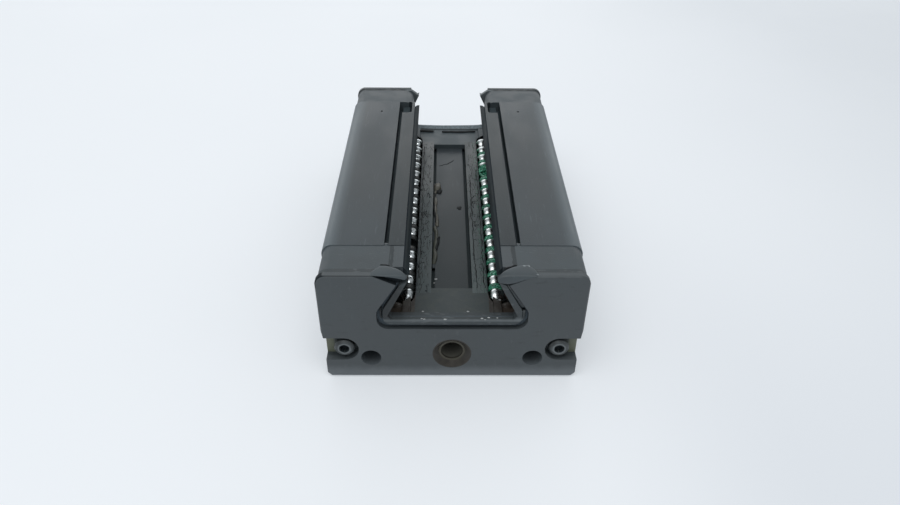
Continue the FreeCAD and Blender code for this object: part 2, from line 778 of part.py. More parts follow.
for end_name, end in ENDS.items():
    body = new_body("end_cap_" + end_name)
    section = new_sketch(body, body.Label + "_section")
    draw_outline(section, both_sides(CAP_OUTLINE + [
        ("layout.cap_tip", "layout.cap_top"),
        ("layout.cap_tip", "layout.cap_top - dims.cap_tip_drop"),
        ("layout.cap_corner", "layout.rail_knee + dims.cap_knee_rise"),
        ("layout.cap_corner", "layout.channel_floor"),
    ]))
    pad(body, body.Label + "_pad", section, "dims.cap_thickness")
    round_edges(body, body.Label + "_rounds", "dims.leg_round", [CAP_OUTLINE[-1]])
    tip = ("layout.cap_tip", "layout.cap_top")
    round_edges(body, body.Label + "_tips", "dims.cap_tip_round", [tip])
    floor_tongue = new_sketch(body, body.Label + "_floor_tongue")
    draw_outline(floor_tongue, both_sides([
        ("layout.retainer_inner", "layout.land_height"),
        ("layout.retainer_inner", "layout.channel_floor"),
    ]))
    pad(body, floor_tongue.Label + "_pad", floor_tongue, "dims.floor_tongue_length", reverse=True)
    tongue_top = "layout.channel_floor + dims.tongue_rise"
    for side_name, side in SIDES.items():
        tongue = new_sketch(body, "%s_tongue_%s" % (body.Label, side_name))
        draw_outline(tongue, on_side(side, [
            ("layout.upper_row_x - dims.tongue_half_width", "layout.channel_floor - dims.tongue_root"),
            ("layout.upper_row_x + dims.tongue_half_width", "layout.channel_floor - dims.tongue_root"),
            ("layout.upper_row_x + dims.tongue_top_half_width", tongue_top),
            ("layout.upper_row_x - dims.tongue_top_half_width", tongue_top),
        ]))
        pad(body, tongue.Label + "_pad", tongue, "dims.cap_thickness")
    for row_name in TURNS:
        for side_name in SIDES:
            cut_turn(body, side_name, row_name)
    screws = new_sketch(body, body.Label + "_screw_holes")
    draw_circles(screws, pair(SCREW), "dims.screw_hole_diameter / 2")
    pocket(body, body.Label + "_screw_cut", screws, "dims.cap_thickness", reverse=True)
    port = new_sketch(body, body.Label + "_port", offset="dims.cap_thickness")
    draw_circles(port, [PORT], "dims.bush_diameter / 2")
    pocket(body, body.Label + "_port_cut", port, "dims.bush_seat_depth")
    passage = new_sketch(body, body.Label + "_grease_hole")
    draw_circles(passage, [PORT], "dims.grease_hole_diameter / 2")
    pocket(body, passage.Label + "_cut", passage, "dims.cap_thickness", reverse=True)
    grooves = new_sketch(body, body.Label + "_grease_grooves")
    arm = [("layout.upper_row_x", "layout.upper_row_z - dims.grease_groove_width"), UPPER_ROW]
    low = ("0", "dims.port_height - dims.grease_groove_width / 2")
    high = ("0", "dims.port_height + dims.grease_groove_width / 2")
    draw_outline(grooves, [low] + arm + [high] + on_side(-1, arm[::-1]))
    pocket(body, grooves.Label + "_cut", grooves, "dims.grease_groove_depth", reverse=True)
    holes = new_sketch(body, body.Label + "_accessory", offset="dims.cap_thickness")
    draw_circles(holes, pair(ACCESSORY), "dims.accessory_diameter / 2")
    pocket(body, body.Label + "_accessory_cut", holes, "dims.accessory_depth")
    if end < 0:
        for side_name, side in SIDES.items():
            slot = new_sketch(body, "%s_slot_%s" % (body.Label, side_name))
            draw_outline(slot, on_side(side, tab_section))
            pocket(body, slot.Label + "_cut", slot, "dims.cap_thickness", reverse=True)
    place_end(body, end, "layout.row_half")

    body = new_body("seal_lip_" + end_name)
    section = new_sketch(body, body.Label + "_section")
    seal = SEALS[end_name]
    opening = lip_opening(seal["floor"])
    tip_top = ("%s + %s" % (opening[0][0], seal["tip_width"]), "layout.cap_top")
    draw_outline(section, both_sides(CAP_OUTLINE + [tip_top] + opening))
    pad(body, body.Label + "_pad", section, "dims.lip_thickness")
    round_edges(body, body.Label + "_rounds", "dims.leg_round", [CAP_OUTLINE[-1]])
    round_edges(body, body.Label + "_tips", seal["tip_round"], [tip_top])
    cut_end_openings(body, "dims.lip_thickness")
    band = new_sketch(body, body.Label + "_band", offset="dims.lip_thickness")
    band_outer = band_edge(seal["floor"], "0", "0")
    draw_outline(band, both_sides(band_outer + opening))
    pad(body, body.Label + "_band_pad", band, "dims.plate_thickness")
    round_edges(body, body.Label + "_band_rounds", "dims.band_round", band_outer[:2])
    place_end(body, end, "layout.lip_seat")

    body = new_body("seal_plate_" + end_name)
    section = new_sketch(body, body.Label + "_section")
    plate_top = (seal["plate_tip"], "layout.block_height")
    plate_opening = band_edge(seal["floor"], "dims.groove_width", "dims.groove_foot")
    draw_outline(section, both_sides(PLATE_OUTLINE + [plate_top] + plate_opening[::-1]))
    pad(body, body.Label + "_pad", section, "dims.plate_thickness")
    round_edges(body, body.Label + "_rounds", "dims.leg_round", [PLATE_OUTLINE[-1]])
    round_edges(body, body.Label + "_opening_rounds", "dims.groove_round", plate_opening[:2])
    cut_end_openings(body, "dims.plate_thickness")
    break_edges(body, body.Label + "_edge", "dims.plate_edge_chamfer", "-dims.plate_thickness",
                "layout.step_top", SEALS["front"]["plate_tip"])
    place_end(body, end, "layout.plate_seat")

    body = new_body("port_bush_" + end_name)
    section = new_sketch(body, body.Label + "_section")
    bush_length = "dims.bush_seat_depth + dims.lip_thickness + dims.plate_thickness"
    rim_height = bush_length + " - dims.port_rim_depth"
    draw_outline(section, [
        ("dims.port_diameter / 2", "dims.port_chamfer"),
        ("dims.port_diameter / 2 + dims.port_chamfer", "0"),
        ("dims.bush_diameter / 2", "0"),
        ("dims.bush_diameter / 2", bush_length),
        ("dims.port_countersink / 2", bush_length),
        ("dims.port_diameter / 2 + dims.port_rim", rim_height),
        ("dims.port_diameter / 2", rim_height),
    ])
    revolve(body, body.Label + "_turned", section, 360)
    place_on_axis(body, 1, end, "0", "layout.lip_seat - dims.bush_seat_depth", "dims.port_height")

    screws = []
    for side_name, side in SIDES.items():
        screw = doc.addObject("PartDesign::Body", "screw_%s_%s" % (side_name, end_name))
        section = new_sketch(screw, screw.Label + "_section")
        shank = "dims.screw_engagement + dims.cap_thickness"
        top = shank + " + dims.screw_head_height"
        draw_outline(section, [
            ("0", "0"),
            ("dims.screw_diameter / 2", "0"),
            ("dims.screw_diameter / 2", shank),
            ("dims.screw_head_diameter / 2", shank),
            ("dims.screw_head_diameter / 2", top + " - dims.screw_head_chamfer"),
            ("dims.screw_head_diameter / 2 - dims.screw_head_chamfer", top),
            ("0", top),
        ])
        revolve(screw, screw.Label + "_turned", section, 360)
        socket = new_sketch(screw, screw.Label + "_socket", "XY_Plane", top)
        corner = "dims.screw_socket_width / sqrt(3)"
        draw_outline(socket, [
            ("%s * cos(%d deg)" % (corner, turn), "%s * sin(%d deg)" % (corner, turn))
            for turn in range(30, 390, 60)
        ])
        pocket(screw, screw.Label + "_socket_cut", socket, "dims.screw_socket_depth")
        tip = "layout.row_half - dims.screw_engagement"
        place_on_axis(screw, side, end, "layout.screw_x", tip, "dims.screw_height")
        screws.append(screw)
    group = doc.addObject("Part::Compound", "cap_screws_" + end_name)
    group.Links = screws
    parts[group.Label] = group

# Ball trains. Each circuit has a loaded row, a return row and a turn at each end. In a
# circuit's own frame X leads from the loaded to the return row, and the loaded row moves
# towards the rear.

ROWS = {
    "upper": ("layout.upper_row_x", "layout.upper_row_z", "dims.upper_tilt"),
    "lower": ("layout.lower_row_x", "layout.lower_row_z", None),
}
RETURNS = {
    "upper": ("layout.upper_return_x", "layout.upper_return_z"),
    "lower": ("layout.lower_return_x", "layout.lower_row_z"),
}


def place_train(body, side, across, along, up, tilt):
    yaw = 0 if side > 0 else 180
    place(body, signed(side, across), along, up, yaw, tilt)


def seed_ball(body, name, across, along):
    ball = body.newObject("PartDesign::AdditiveSphere", name)
    ball.AttachmentSupport = [(origin_feature(body, "XY_Plane"), "")]
    ball.MapMode = "FlatFace"
    ball.setExpression("Radius", "layout.ball_radius")
    ball.setExpression("AttachmentOffset.Base.x", across)
    ball.setExpression("AttachmentOffset.Base.y", along)
    return ball


def seed_spacer(body, name, across, along):
    """Disc with a hollow for a ball on either side, its axis along Y."""
    sketch = new_sketch(body, name + "_section", "XY_Plane")
    sketch.setExpression("AttachmentOffset.Base.x", across)
    sketch.setExpression("AttachmentOffset.Base.y", along)
    draw_outline(sketch, [
        ("0", "-layout.spacer_half_web"),
        ("layout.spacer_radius", "-layout.spacer_half_rim"),
        ("layout.spacer_radius", "layout.spacer_half_rim"),
        ("0", "layout.spacer_half_web"),
    ], {0: ("layout.dish_radius", -1), 2: ("layout.dish_radius", -1)})
    return revolve(body, name, sketch, 360)


def repeat_along(body, seed, count, backwards):
    if count < 2:
        return
    pattern = body.newObject("PartDesign::LinearPattern", seed.Label + "_row")
    pattern.Originals = [seed]
    pattern.Direction = (origin_feature(body, "Y_Axis"), [""])
    pattern.Reversed = backwards
    pattern.setExpression("Length", "layout.pitch * %d" % (count - 1))
    pattern.Occurrences = count
    body.Tip = pattern


def repeat_round(body, seed, count, backwards):
    pattern = body.newObject("PartDesign::PolarPattern", seed.Label + "_turn")
    pattern.Originals = [seed]
    pattern.Axis = (origin_feature(body, "Z_Axis"), [""])
    pattern.Reversed = backwards
    pattern.setExpression("Angle", "layout.turn_step * %d" % (count - 1))
    pattern.Occurrences = count
    body.Tip = pattern


def straight_train(label, side, spot, tilt, way, lost):
    """Balls and spacers of a straight row that starts at its rearmost or foremost end.

    way is 1 for a row that moves towards the rear and so starts at the front.
    """
    across, up = spot
    local_way = way * side
    count = int(value("layout.row_count"))
    runs = [(0, lost), (lost + 1, count - lost - 1)] if lost is not None else [(0, count)]
    balls = new_body(label + "_balls")
    for number, (first, amount) in enumerate(runs):
        along = signed(local_way, "layout.pitch * %d - layout.row_half" % first)
        seed = seed_ball(balls, "%s_seed_%d" % (balls.Label, number), "0", along)
        repeat_along(balls, seed, amount, local_way < 0)
    place_train(balls, side, across, "0", up, tilt)
    spacers = new_body(label + "_spacers")
    along = signed(local_way, "layout.pitch / 2 - layout.row_half")
    seed = seed_spacer(spacers, spacers.Label + "_seed", "0", along)
    repeat_along(spacers, seed, count - 1, local_way < 0)
    place_train(spacers, side, across, "0", up, tilt)


def turn_train(label, side, end, row_name, from_loaded):
    """Balls and spacers in a turn, the first ball at the row that they come from."""
    across, up, _ = TURNS[row_name]
    tilt = ROWS[row_name][2]
    local_end = end * side
    start = -1 if from_loaded else 1
    backwards = start * local_end < 0
    count = int(value("layout.turn_count"))
    balls = new_body(label + "_balls")
    seed = seed_ball(balls, balls.Label + "_seed", signed(start, "layout.turn_radius"), "0")
    repeat_round(balls, seed, count, backwards)
    along = signed(end, "layout.row_half")
    place_train(balls, side, across, along, up, tilt)
    spacers = new_body(label + "_spacers")
    middle = "layout.turn_step / 2 * 1 deg"
    spot_x = signed(start, "layout.spacer_turn_radius * cos(%s)" % middle)
    spot_y = signed(local_end, "layout.spacer_turn_radius * sin(%s)" % middle)
    lean = value("layout.turn_step") / 2 * start * local_end
    sketch_seed = seed_spacer(spacers, spacers.Label + "_seed", spot_x, spot_y)
    sketch_seed.Profile[0].AttachmentOffset.Rotation = FreeCAD.Rotation(lean, 0, 0)
    repeat_round(spacers, sketch_seed, count - 1, backwards)
    place_train(spacers, side, across, along, up, tilt)


for row_name, (across, up, tilt) in ROWS.items():
    for side_name, side in SIDES.items():
        circuit = "%s_%s" % (row_name, side_name)
        lost = round(BALL_COUNT_BEFORE_LOSS[side_name]) if row_name == "upper" else None
        straight_train(circuit + "_loaded", side, (across, up), tilt, 1, lost)
        straight_train(circuit + "_return", side, RETURNS[row_name], tilt, -1, None)
        turn_train(circuit + "_rear_turn", side, 1, row_name, True)
        turn_train(circuit + "_front_turn", side, -1, row_name, False)

doc.recompute()

# Every object is checked before the parts are written

for item in doc.Objects:
    if "Invalid" in item.State or "Error" in item.State:
        raise RuntimeError("%s is not up to date: %s" % (item.Label, item.State))
for label, item in parts.items():
    if item.Shape.isNull() or not item.Shape.isValid():
        raise RuntimeError("%s has no valid shape" % label)

os.makedirs("parts", exist_ok=True)
for label, item in parts.items():
    item.Shape.exportStep("parts/%s.step" % label)
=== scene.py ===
import math
import random

import bmesh
import bpy
from mathutils import Matrix, Vector


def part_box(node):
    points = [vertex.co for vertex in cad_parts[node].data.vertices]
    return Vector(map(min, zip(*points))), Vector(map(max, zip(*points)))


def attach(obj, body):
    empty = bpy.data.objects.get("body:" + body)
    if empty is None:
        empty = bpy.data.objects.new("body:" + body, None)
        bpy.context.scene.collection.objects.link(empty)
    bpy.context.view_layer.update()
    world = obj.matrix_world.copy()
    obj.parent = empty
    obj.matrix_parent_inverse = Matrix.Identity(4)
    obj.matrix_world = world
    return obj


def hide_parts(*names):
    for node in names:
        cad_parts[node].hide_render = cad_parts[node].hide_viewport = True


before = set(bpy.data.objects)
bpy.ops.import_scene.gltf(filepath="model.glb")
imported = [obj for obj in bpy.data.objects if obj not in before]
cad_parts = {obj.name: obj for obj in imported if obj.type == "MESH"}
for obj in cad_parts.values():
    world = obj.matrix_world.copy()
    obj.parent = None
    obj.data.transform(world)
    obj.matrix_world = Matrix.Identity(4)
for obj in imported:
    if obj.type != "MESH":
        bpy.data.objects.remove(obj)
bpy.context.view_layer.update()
scene = bpy.context.scene
scene.view_settings.view_transform = "Standard"

MM = 0.001


def srgb(red, green, blue):
    """Linear colour of an sRGB triple."""
    def linear(level):
        level = level / 255
        return level / 12.92 if level <= 0.04045 else ((level + 0.055) / 1.055) ** 2.4
    return (linear(red), linear(green), linear(blue), 1.0)


def box_mm(node):
    """Lowest and highest corner of a node, in millimetres."""
    return [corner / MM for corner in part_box(node)]


# Places on the block, in millimetres. Front is towards -Y, and the right half is at +X.

SLOT_WIDTH = 1.2
NOTCH_LENGTH = 9.0
LAND_GAP = 1.0
LAND_DROP = 1.7
LIP_RISE = 1.7
BALL_SLOT = 10.1
CAVITY_REACH = 1.4
TONGUE_DROP = 1.5
TOP_EDGE = 0.12
GROOVE_REACH = 22.0
PORT_RADIUS = 3.0
ACCESSORY = (22.05, 7.2)
ACCESSORY_RADIUS = 2.75

body_high = box_mm("carriage_body")[1]
strip_low, strip_high = box_mm("side_seal_right")
retainer_low, retainer_high = box_mm("inner_retainer_right")
plate_low, plate_high = box_mm("seal_plate_front")
cap_low, cap_high = box_mm("end_cap_front")
bush_low, bush_high = box_mm("port_bush_front")
screw_low, screw_high = box_mm("cap_screws_front")

TOP = body_high.z
UNDER_TOP = TOP - TOP_EDGE
BODY_SIDE = body_high.x
BODY_END = body_high.y
STRIP_INNER = strip_low.x
STRIP_OUTER = strip_high.x
SLOT_OUTER = STRIP_OUTER + SLOT_WIDTH
CAVITY_OUTER = STRIP_OUTER + CAVITY_REACH
NOTCH_START = BODY_END - NOTCH_LENGTH
FLOOR = retainer_high.z
TONGUE_LOW = FLOOR - TONGUE_DROP
POCKET_EDGE = retainer_low.x
LAND_HALF = POCKET_EDGE - LAND_GAP
LAND = FLOOR - LAND_DROP
CAP_FACE = cap_low.y
CAP_TOP = cap_high.z
LIP_FACE = plate_high.y
LIP_FLOOR = FLOOR + LIP_RISE
END_FACE = plate_low.y
PORT_HEIGHT = (bush_low.z + bush_high.z) / 2
SCREW_HEIGHT = (screw_low.z + screw_high.z) / 2
SCREW_ACROSS = screw_high.x - (screw_high.z - screw_low.z) / 2

# Camera at the angle of the photograph

CAMERA_PLACE = Vector((-2.96, -196.57, 145.25)) * MM
CAMERA_YAW = 0.0153
CAMERA_FALL = math.radians(36.44)
CAMERA_ROLL = 0.0118
CAMERA_LENS = 28.212
CAMERA_NEAREST = 0.01
SENSOR_WIDTH = 36.0


def camera_axes():
    """Right, up and backward directions of the camera."""
    right = Vector((math.cos(CAMERA_YAW), -math.sin(CAMERA_YAW), 0))
    ahead = Vector((math.sin(CAMERA_YAW), math.cos(CAMERA_YAW), 0))
    up = Vector((0, 0, 1))
    look = ahead * math.cos(CAMERA_FALL) - up * math.sin(CAMERA_FALL)
    head = ahead * math.sin(CAMERA_FALL) + up * math.cos(CAMERA_FALL)
    across = right * math.cos(CAMERA_ROLL) + head * math.sin(CAMERA_ROLL)
    upright = head * math.cos(CAMERA_ROLL) - right * math.sin(CAMERA_ROLL)
    return across, upright, -look


camera = bpy.data.objects.new("camera", bpy.data.cameras.new("camera"))
scene.collection.objects.link(camera)
camera.data.sensor_width = SENSOR_WIDTH
camera.data.lens = CAMERA_LENS
camera.data.clip_start = CAMERA_NEAREST
turn = Matrix(camera_axes()).transposed().to_4x4()
camera.matrix_world = Matrix.Translation(CAMERA_PLACE) @ turn
scene.camera = camera

# Soft light of a pale room: a broad ceiling, a smaller lamp, and a bright wall behind the block

SKY_TINT = (0.95, 0.975, 1.0, 1.0)
SKY_STRENGTH = 0.6
WHITE = (1.0, 1.0, 1.0)
WALL_TINT = (0.97, 0.99, 1.0)
BLOCK_MIDDLE = Vector((0, 0, 0.02))

world = bpy.data.worlds.new("room")
scene.world = world
world.use_nodes = True
sky = world.node_tree.nodes["Background"]
sky.inputs["Color"].default_value = SKY_TINT
sky.inputs["Strength"].default_value = SKY_STRENGTH


def area_light(name, place, size, power, tint):
    """Rectangular light that faces the block. place and size are in metres."""
    lamp = bpy.data.lights.new(name, "AREA")
    lamp.shape = "RECTANGLE"
    lamp.size, lamp.size_y = size
    lamp.energy = power
    lamp.color = tint
    holder = bpy.data.objects.new(name, lamp)
    scene.collection.objects.link(holder)
    holder.location = place
    holder.rotation_euler = (BLOCK_MIDDLE - place).to_track_quat("-Z", "Y").to_euler()


area_light("ceiling", Vector((-0.2, -0.35, 0.9)), size=(0.75, 0.75), power=3.5, tint=WHITE)
area_light("lamp", Vector((0.17, -0.34, 0.9)), size=(0.3, 0.3), power=0.85, tint=WHITE)
area_light("back_wall", Vector((-0.05, 0.95, 0.33)), size=(1.8, 0.35), power=3.2, tint=WALL_TINT)

# Surfaces. Each is painted in the piece's own space, measured in millimetres.

EVEN = (1, 1, 1)
ALONG_RAIL = (1, 12, 1)
SEED_SHIFT = (1.0, 0.7, 1.3)
CLOUD_RANGE = (0.3, 0.7)
GRAIN_SIZE = 0.35
GRAIN_SEED = 1.7
GRAIN_RANGE = (0.35, 0.7)
GRAIN_DEPTH = 0.12
DULLING = 0.9
WRINKLE_BAND = (0.488, 0.512)
WRINKLE_BLUR = 0.006
SCUFF_EDGE = 0.1
# Black of grease, also laid as painted shade into wedges, sockets and groove walls
BLACK_GREASE_AND_SHADE = srgb(40, 46, 50)
BROWN_GREASE = srgb(44, 38, 32)
# Paler colour for the sides of the leg slots: painted light that lifts their shade
SLOT_PAINTED_LIGHT = srgb(62, 71, 75)
# Black for the cut edge at the left tip: painted shade
CUT_EDGE_SHADE = srgb(34, 39, 42)
PALE_DUST = srgb(96, 103, 107)
OLIVE = srgb(100, 104, 88)


class Surface:
    """Node graph of one material, with masks by place and by noise."""

    def __init__(self, name):
        self.material = bpy.data.materials.new(name)
        self.material.use_nodes = True
        self.tree = self.material.node_tree
        self.shader = self.tree.nodes["Principled BSDF"]
        scale = self.node("ShaderNodeVectorMath", "SCALE")
        self.join(self.node("ShaderNodeTexCoord").outputs["Object"], scale.inputs["Vector"])
        scale.inputs["Scale"].default_value = 1 / MM
        self.place = scale.outputs["Vector"]
        split = self.node("ShaderNodeSeparateXYZ")
        self.join(self.place, split.inputs["Vector"])
        self.x = split.outputs["X"]
        self.y = split.outputs["Y"]
        self.z = split.outputs["Z"]
        self.across = self.math("ABSOLUTE", self.x)
        self.shine = None

    def node(self, kind, operation=None):
        item = self.tree.nodes.new(kind)
        if operation:
            item.operation = operation
        return item

    def join(self, value, socket):
        """Give a socket a number, a colour or another node's output."""
        if isinstance(value, (int, float, tuple)):
            socket.default_value = value
        else:
            self.tree.links.new(value, socket)

    def math(self, operation, first, second=0.0):
        item = self.node("ShaderNodeMath", operation)
        self.join(first, item.inputs[0])
        self.join(second, item.inputs[1])
        return item.outputs[0]

    def from_middle(self):
        """Distance along the rail from the middle of the block, towards either end."""
        return self.math("ABSOLUTE", self.y)

    def noise(self, size, stretch=EVEN, detail=4.0, seed=0.0):
        """Noise from 0 to 1 with features of about this size, drawn out by stretch."""
        shift = self.node("ShaderNodeMapping")
        shift.inputs["Scale"].default_value = tuple(1 / (size * factor) for factor in stretch)
        shift.inputs["Location"].default_value = tuple(seed * factor for factor in SEED_SHIFT)
        self.join(self.place, shift.inputs["Vector"])
        texture = self.node("ShaderNodeTexNoise")
        texture.inputs["Scale"].default_value = 1.0
        texture.inputs["Detail"].default_value = detail
        self.join(shift.outputs["Vector"], texture.inputs["Vector"])
        return texture.outputs["Fac"]

    def ease(self, value, start, stop, low=0.0, high=1.0):
        """Smooth step from low to high while the value goes from start to stop."""
        item = self.node("ShaderNodeMapRange")
        item.interpolation_type = "SMOOTHSTEP"
        for name, number in (("From Min", start), ("From Max", stop), ("To Min", low), ("To Max", high)):
            item.inputs[name].default_value = number
        self.join(value, item.inputs["Value"])
        return item.outputs["Result"]

    def patches(self, size, start, stop, stretch=EVEN, detail=4.0, seed=0.0):
        """Uneven patches of about this size, where noise passes from start to stop."""
        return self.ease(self.noise(size, stretch, detail, seed), start, stop)

    def above(self, value, limit, blur=0.1):
        return self.ease(value, limit - blur, limit + blur)

    def below(self, value, limit, blur=0.1):
        return self.ease(value, limit - blur, limit + blur, 1.0, 0.0)

    def between(self, value, low, high, blur=0.1):
        return self.math("MULTIPLY", self.above(value, low, blur), self.below(value, high, blur))

    def both(self, *masks):
        """Mask that is 1 where all of these are."""
        result = masks[0]
        for mask in masks[1:]:
            result = self.math("MULTIPLY", result, mask)
        return result

    def ragged(self, value, size, amount, seed=0.0):
        """Coordinate with a wavering offset, for masks with uneven edges."""
        waver = self.math("SUBTRACT", self.noise(size, seed=seed), 0.5)
        return self.math("ADD", value, self.math("MULTIPLY", waver, amount))

    def radius_about(self, across, up):
        """Distance from an axis along Y at either side."""
        sideways = self.math("SUBTRACT", self.across, across)
        height = self.math("SUBTRACT", self.z, up)
        return self.math("SQRT", self.math("ADD", self.math("MULTIPLY", sideways, sideways),
                                           self.math("MULTIPLY", height, height)))

    def mix(self, mask, first, second):
        """First colour, turning into the second one where the mask is 1."""
        item = self.node("ShaderNodeMix")
        item.data_type = "RGBA"
        self.join(mask, item.inputs["Factor"])
        first_socket, second_socket = [socket for socket in item.inputs if socket.type == "RGBA"]
        self.join(first, first_socket)
        self.join(second, second_socket)
        return [socket for socket in item.outputs if socket.type == "RGBA"][0]

    def tone(self, tint, spread, size, stretch=EVEN):
        """Cloudy ground colour with a fine grain."""
        clouds = self.patches(size, *CLOUD_RANGE, stretch)
        dark = tuple(level * (1 - spread) for level in tint[:3]) + (1.0,)
        light = tuple(level * (1 + spread) for level in tint[:3]) + (1.0,)
        self.colour = self.mix(clouds, dark, light)
        self.clouds = clouds
        self.grain = self.noise(GRAIN_SIZE, detail=3.0, seed=GRAIN_SEED)
        self.paint(self.ease(self.grain, *GRAIN_RANGE, GRAIN_DEPTH, 0.0), dark)

    def paint(self, mask, tint, strength=1.0):
        """Lay a colour over what is there, where the mask is 1."""
        if strength < 1.0:
            mask = self.math("MULTIPLY", mask, strength)
        self.colour = self.mix(mask, self.colour, tint)

    def soil_and_shade(self, mask, tint=BLACK_GREASE_AND_SHADE, strength=1.0):
        """Lay a dull colour over what is there, where the mask is 1: grease in some places, painted light and
        shade in others.
        """
        self.paint(mask, tint, strength)
        dulled = self.ease(mask, 0.0, 1.0, 1.0, 1 - DULLING * strength)
        self.shine = self.both(self.shine, dulled) if self.shine else dulled

    def wrinkles(self, where, size, stretch, tint, seed):
        """Thin winding lines, where the mask is 1."""
        waves = self.noise(size, stretch, 2.0, seed)
        self.soil_and_shade(self.both(where, self.between(waves, *WRINKLE_BAND, WRINKLE_BLUR)), tint)

    def scuffs(self, tint, size, stretch=EVEN, strength=0.5, seed=4.0, share=0.62):
        """Short streaks of another colour. A larger share leaves fewer of them."""
        self.paint(self.patches(size, share, share + SCUFF_EDGE, stretch, 3.0, seed), tint, strength)

    def finish(self, rough, metal=0.0, specular=0.5, relief=0.08):
        """Material with roughness between two limits and the grain as relief."""
        self.join(self.colour, self.shader.inputs["Base Color"])
        self.join(self.ease(self.clouds, 0.0, 1.0, *rough), self.shader.inputs["Roughness"])
        self.shader.inputs["Metallic"].default_value = metal
        level = self.shader.inputs["Specular IOR Level"]
        level.default_value = specular
        if self.shine:
            self.join(self.math("MULTIPLY", self.shine, specular), level)
        bump = self.node("ShaderNodeBump")
        bump.inputs["Strength"].default_value = relief
        bump.inputs["Distance"].default_value = GRAIN_SIZE * MM
        self.join(self.grain, bump.inputs["Height"])
        self.join(bump.outputs["Normal"], self.shader.inputs["Normal"])
        return self.material


def paint_light_into_holes(surface):
    """Paler, dull inside of the accessory holes: painted light that lifts the shade in them."""
    inside = surface.below(surface.radius_about(*ACCESSORY), ACCESSORY_RADIUS + 0.02, blur=0.06)
    surface.soil_and_shade(inside, srgb(84, 90, 94))


def body_steel():
    """Coated steel: paler on the outer rounds, wear with painted sheen; painted shade half way along and in
    the pocket towards the near end.
    """
    steel = Surface("body_steel")
    steel.tone(srgb(58, 65, 69), spread=0.14, size=9.0, stretch=(1, 3, 1))
    steel.scuffs(srgb(84, 92, 97), size=0.5, stretch=ALONG_RAIL, strength=0.4)
    steel.scuffs(srgb(48, 54, 57), size=1.6, stretch=(2, 1, 1), strength=0.35, seed=7.0, share=0.66)
    # Paler along the outer rounds: wear, and painted sheen where the rounded edge catches the light
    outer_round_wear_and_sheen = steel.both(steel.above(steel.across, BODY_SIDE - 3.6, blur=2.0),
                             steel.above(steel.z, TOP - 6, blur=2.0))
    steel.paint(outer_round_wear_and_sheen, srgb(94, 104, 109), 0.65)
    # Darker half way along the legs: painted shade
    half_way_shade = steel.both(steel.below(steel.across, BODY_SIDE - 6, blur=2.0),
                          steel.between(steel.y, -22.0, 30.0, blur=18.0))
    steel.paint(half_way_shade, srgb(44, 50, 53), 0.5)
    # Darker in the pocket towards the near end: painted shade
    near = steel.ease(steel.y, BODY_END, -BODY_END)
    pocket = steel.both(steel.below(steel.across, LAND_HALF), steel.below(steel.z, LAND + 0.2))
    steel.paint(steel.both(pocket, near), srgb(38, 45, 47), 0.85)
    groove = steel.both(steel.below(steel.across, POCKET_EDGE + 0.5), steel.below(steel.z, LAND - 0.25))
    steel.soil_and_shade(groove, srgb(56, 64, 66))
    # Paler, dull sides of the slot: painted light
    slot = steel.both(steel.between(steel.across, STRIP_INNER, SLOT_OUTER + 0.04, blur=0.05),
                      steel.below(steel.z, UNDER_TOP))
    steel.soil_and_shade(slot, SLOT_PAINTED_LIGHT)
    return steel.finish(rough=(0.38, 0.48), metal=0.08, specular=0.33)


def cap_plastic():
    """Moulded caps, with brown grease where the balls turn, an olive screw recess and painted sheen on the
    far floor.
    """
    cap = Surface("cap_plastic")
    cap.tone(srgb(60, 68, 72), spread=0.14, size=7.0)
    cap.scuffs(srgb(80, 88, 92), size=0.7, stretch=(4, 1, 1), strength=0.35)
    floor = cap.both(cap.below(cap.across, BALL_SLOT), cap.below(cap.z, FLOOR + 0.2))
    cap.paint(floor, srgb(48, 56, 56), 0.7)
    cap.paint(cap.both(floor, cap.patches(2.5, 0.45, 0.7, seed=3.0)), srgb(60, 66, 64), 0.6)
    # Paler cap floor at the far end: painted sheen
    cap.paint(cap.both(floor, cap.above(cap.y, 0.0)), srgb(66, 77, 82), 0.7)
    cavity = cap.both(cap.between(cap.across, BALL_SLOT - 0.8, CAVITY_OUTER),
                      cap.between(cap.z, FLOOR + 0.85, TOP - 4.5))
    cap.soil_and_shade(cavity, srgb(64, 58, 53))
    corner = cap.both(cap.between(cap.across, BALL_SLOT + 3.2, CAVITY_OUTER),
                      cap.between(cap.z, TONGUE_LOW, FLOOR + 0.9))
    cap.soil_and_shade(corner, srgb(60, 54, 49))
    tongue = cap.both(cap.between(cap.across, BALL_SLOT, BALL_SLOT + 3.4),
                      cap.between(cap.z, TONGUE_LOW, FLOOR + 0.8))
    tongue = cap.both(tongue, cap.below(cap.y, 0.0))
    cap.paint(tongue, srgb(56, 53, 47), 0.85)
    streaks = cap.patches(1.2, 0.45, 0.6, stretch=(1, 3, 1), detail=3.0, seed=8.0)
    cap.paint(cap.both(tongue, streaks), srgb(38, 33, 30), 0.8)
    recess = cap.both(cap.above(cap.across, SCREW_ACROSS + 3.0, blur=0.6),
                      cap.below(cap.z, SCREW_HEIGHT + 3.9),
                      cap.above(cap.ragged(cap.from_middle(), 2.0, 0.8), -CAP_FACE - 1.3, blur=0.3))
    cap.paint(recess, OLIVE, 0.9)
    paint_light_into_holes(cap)
    return cap.finish(rough=(0.45, 0.58), specular=0.42)


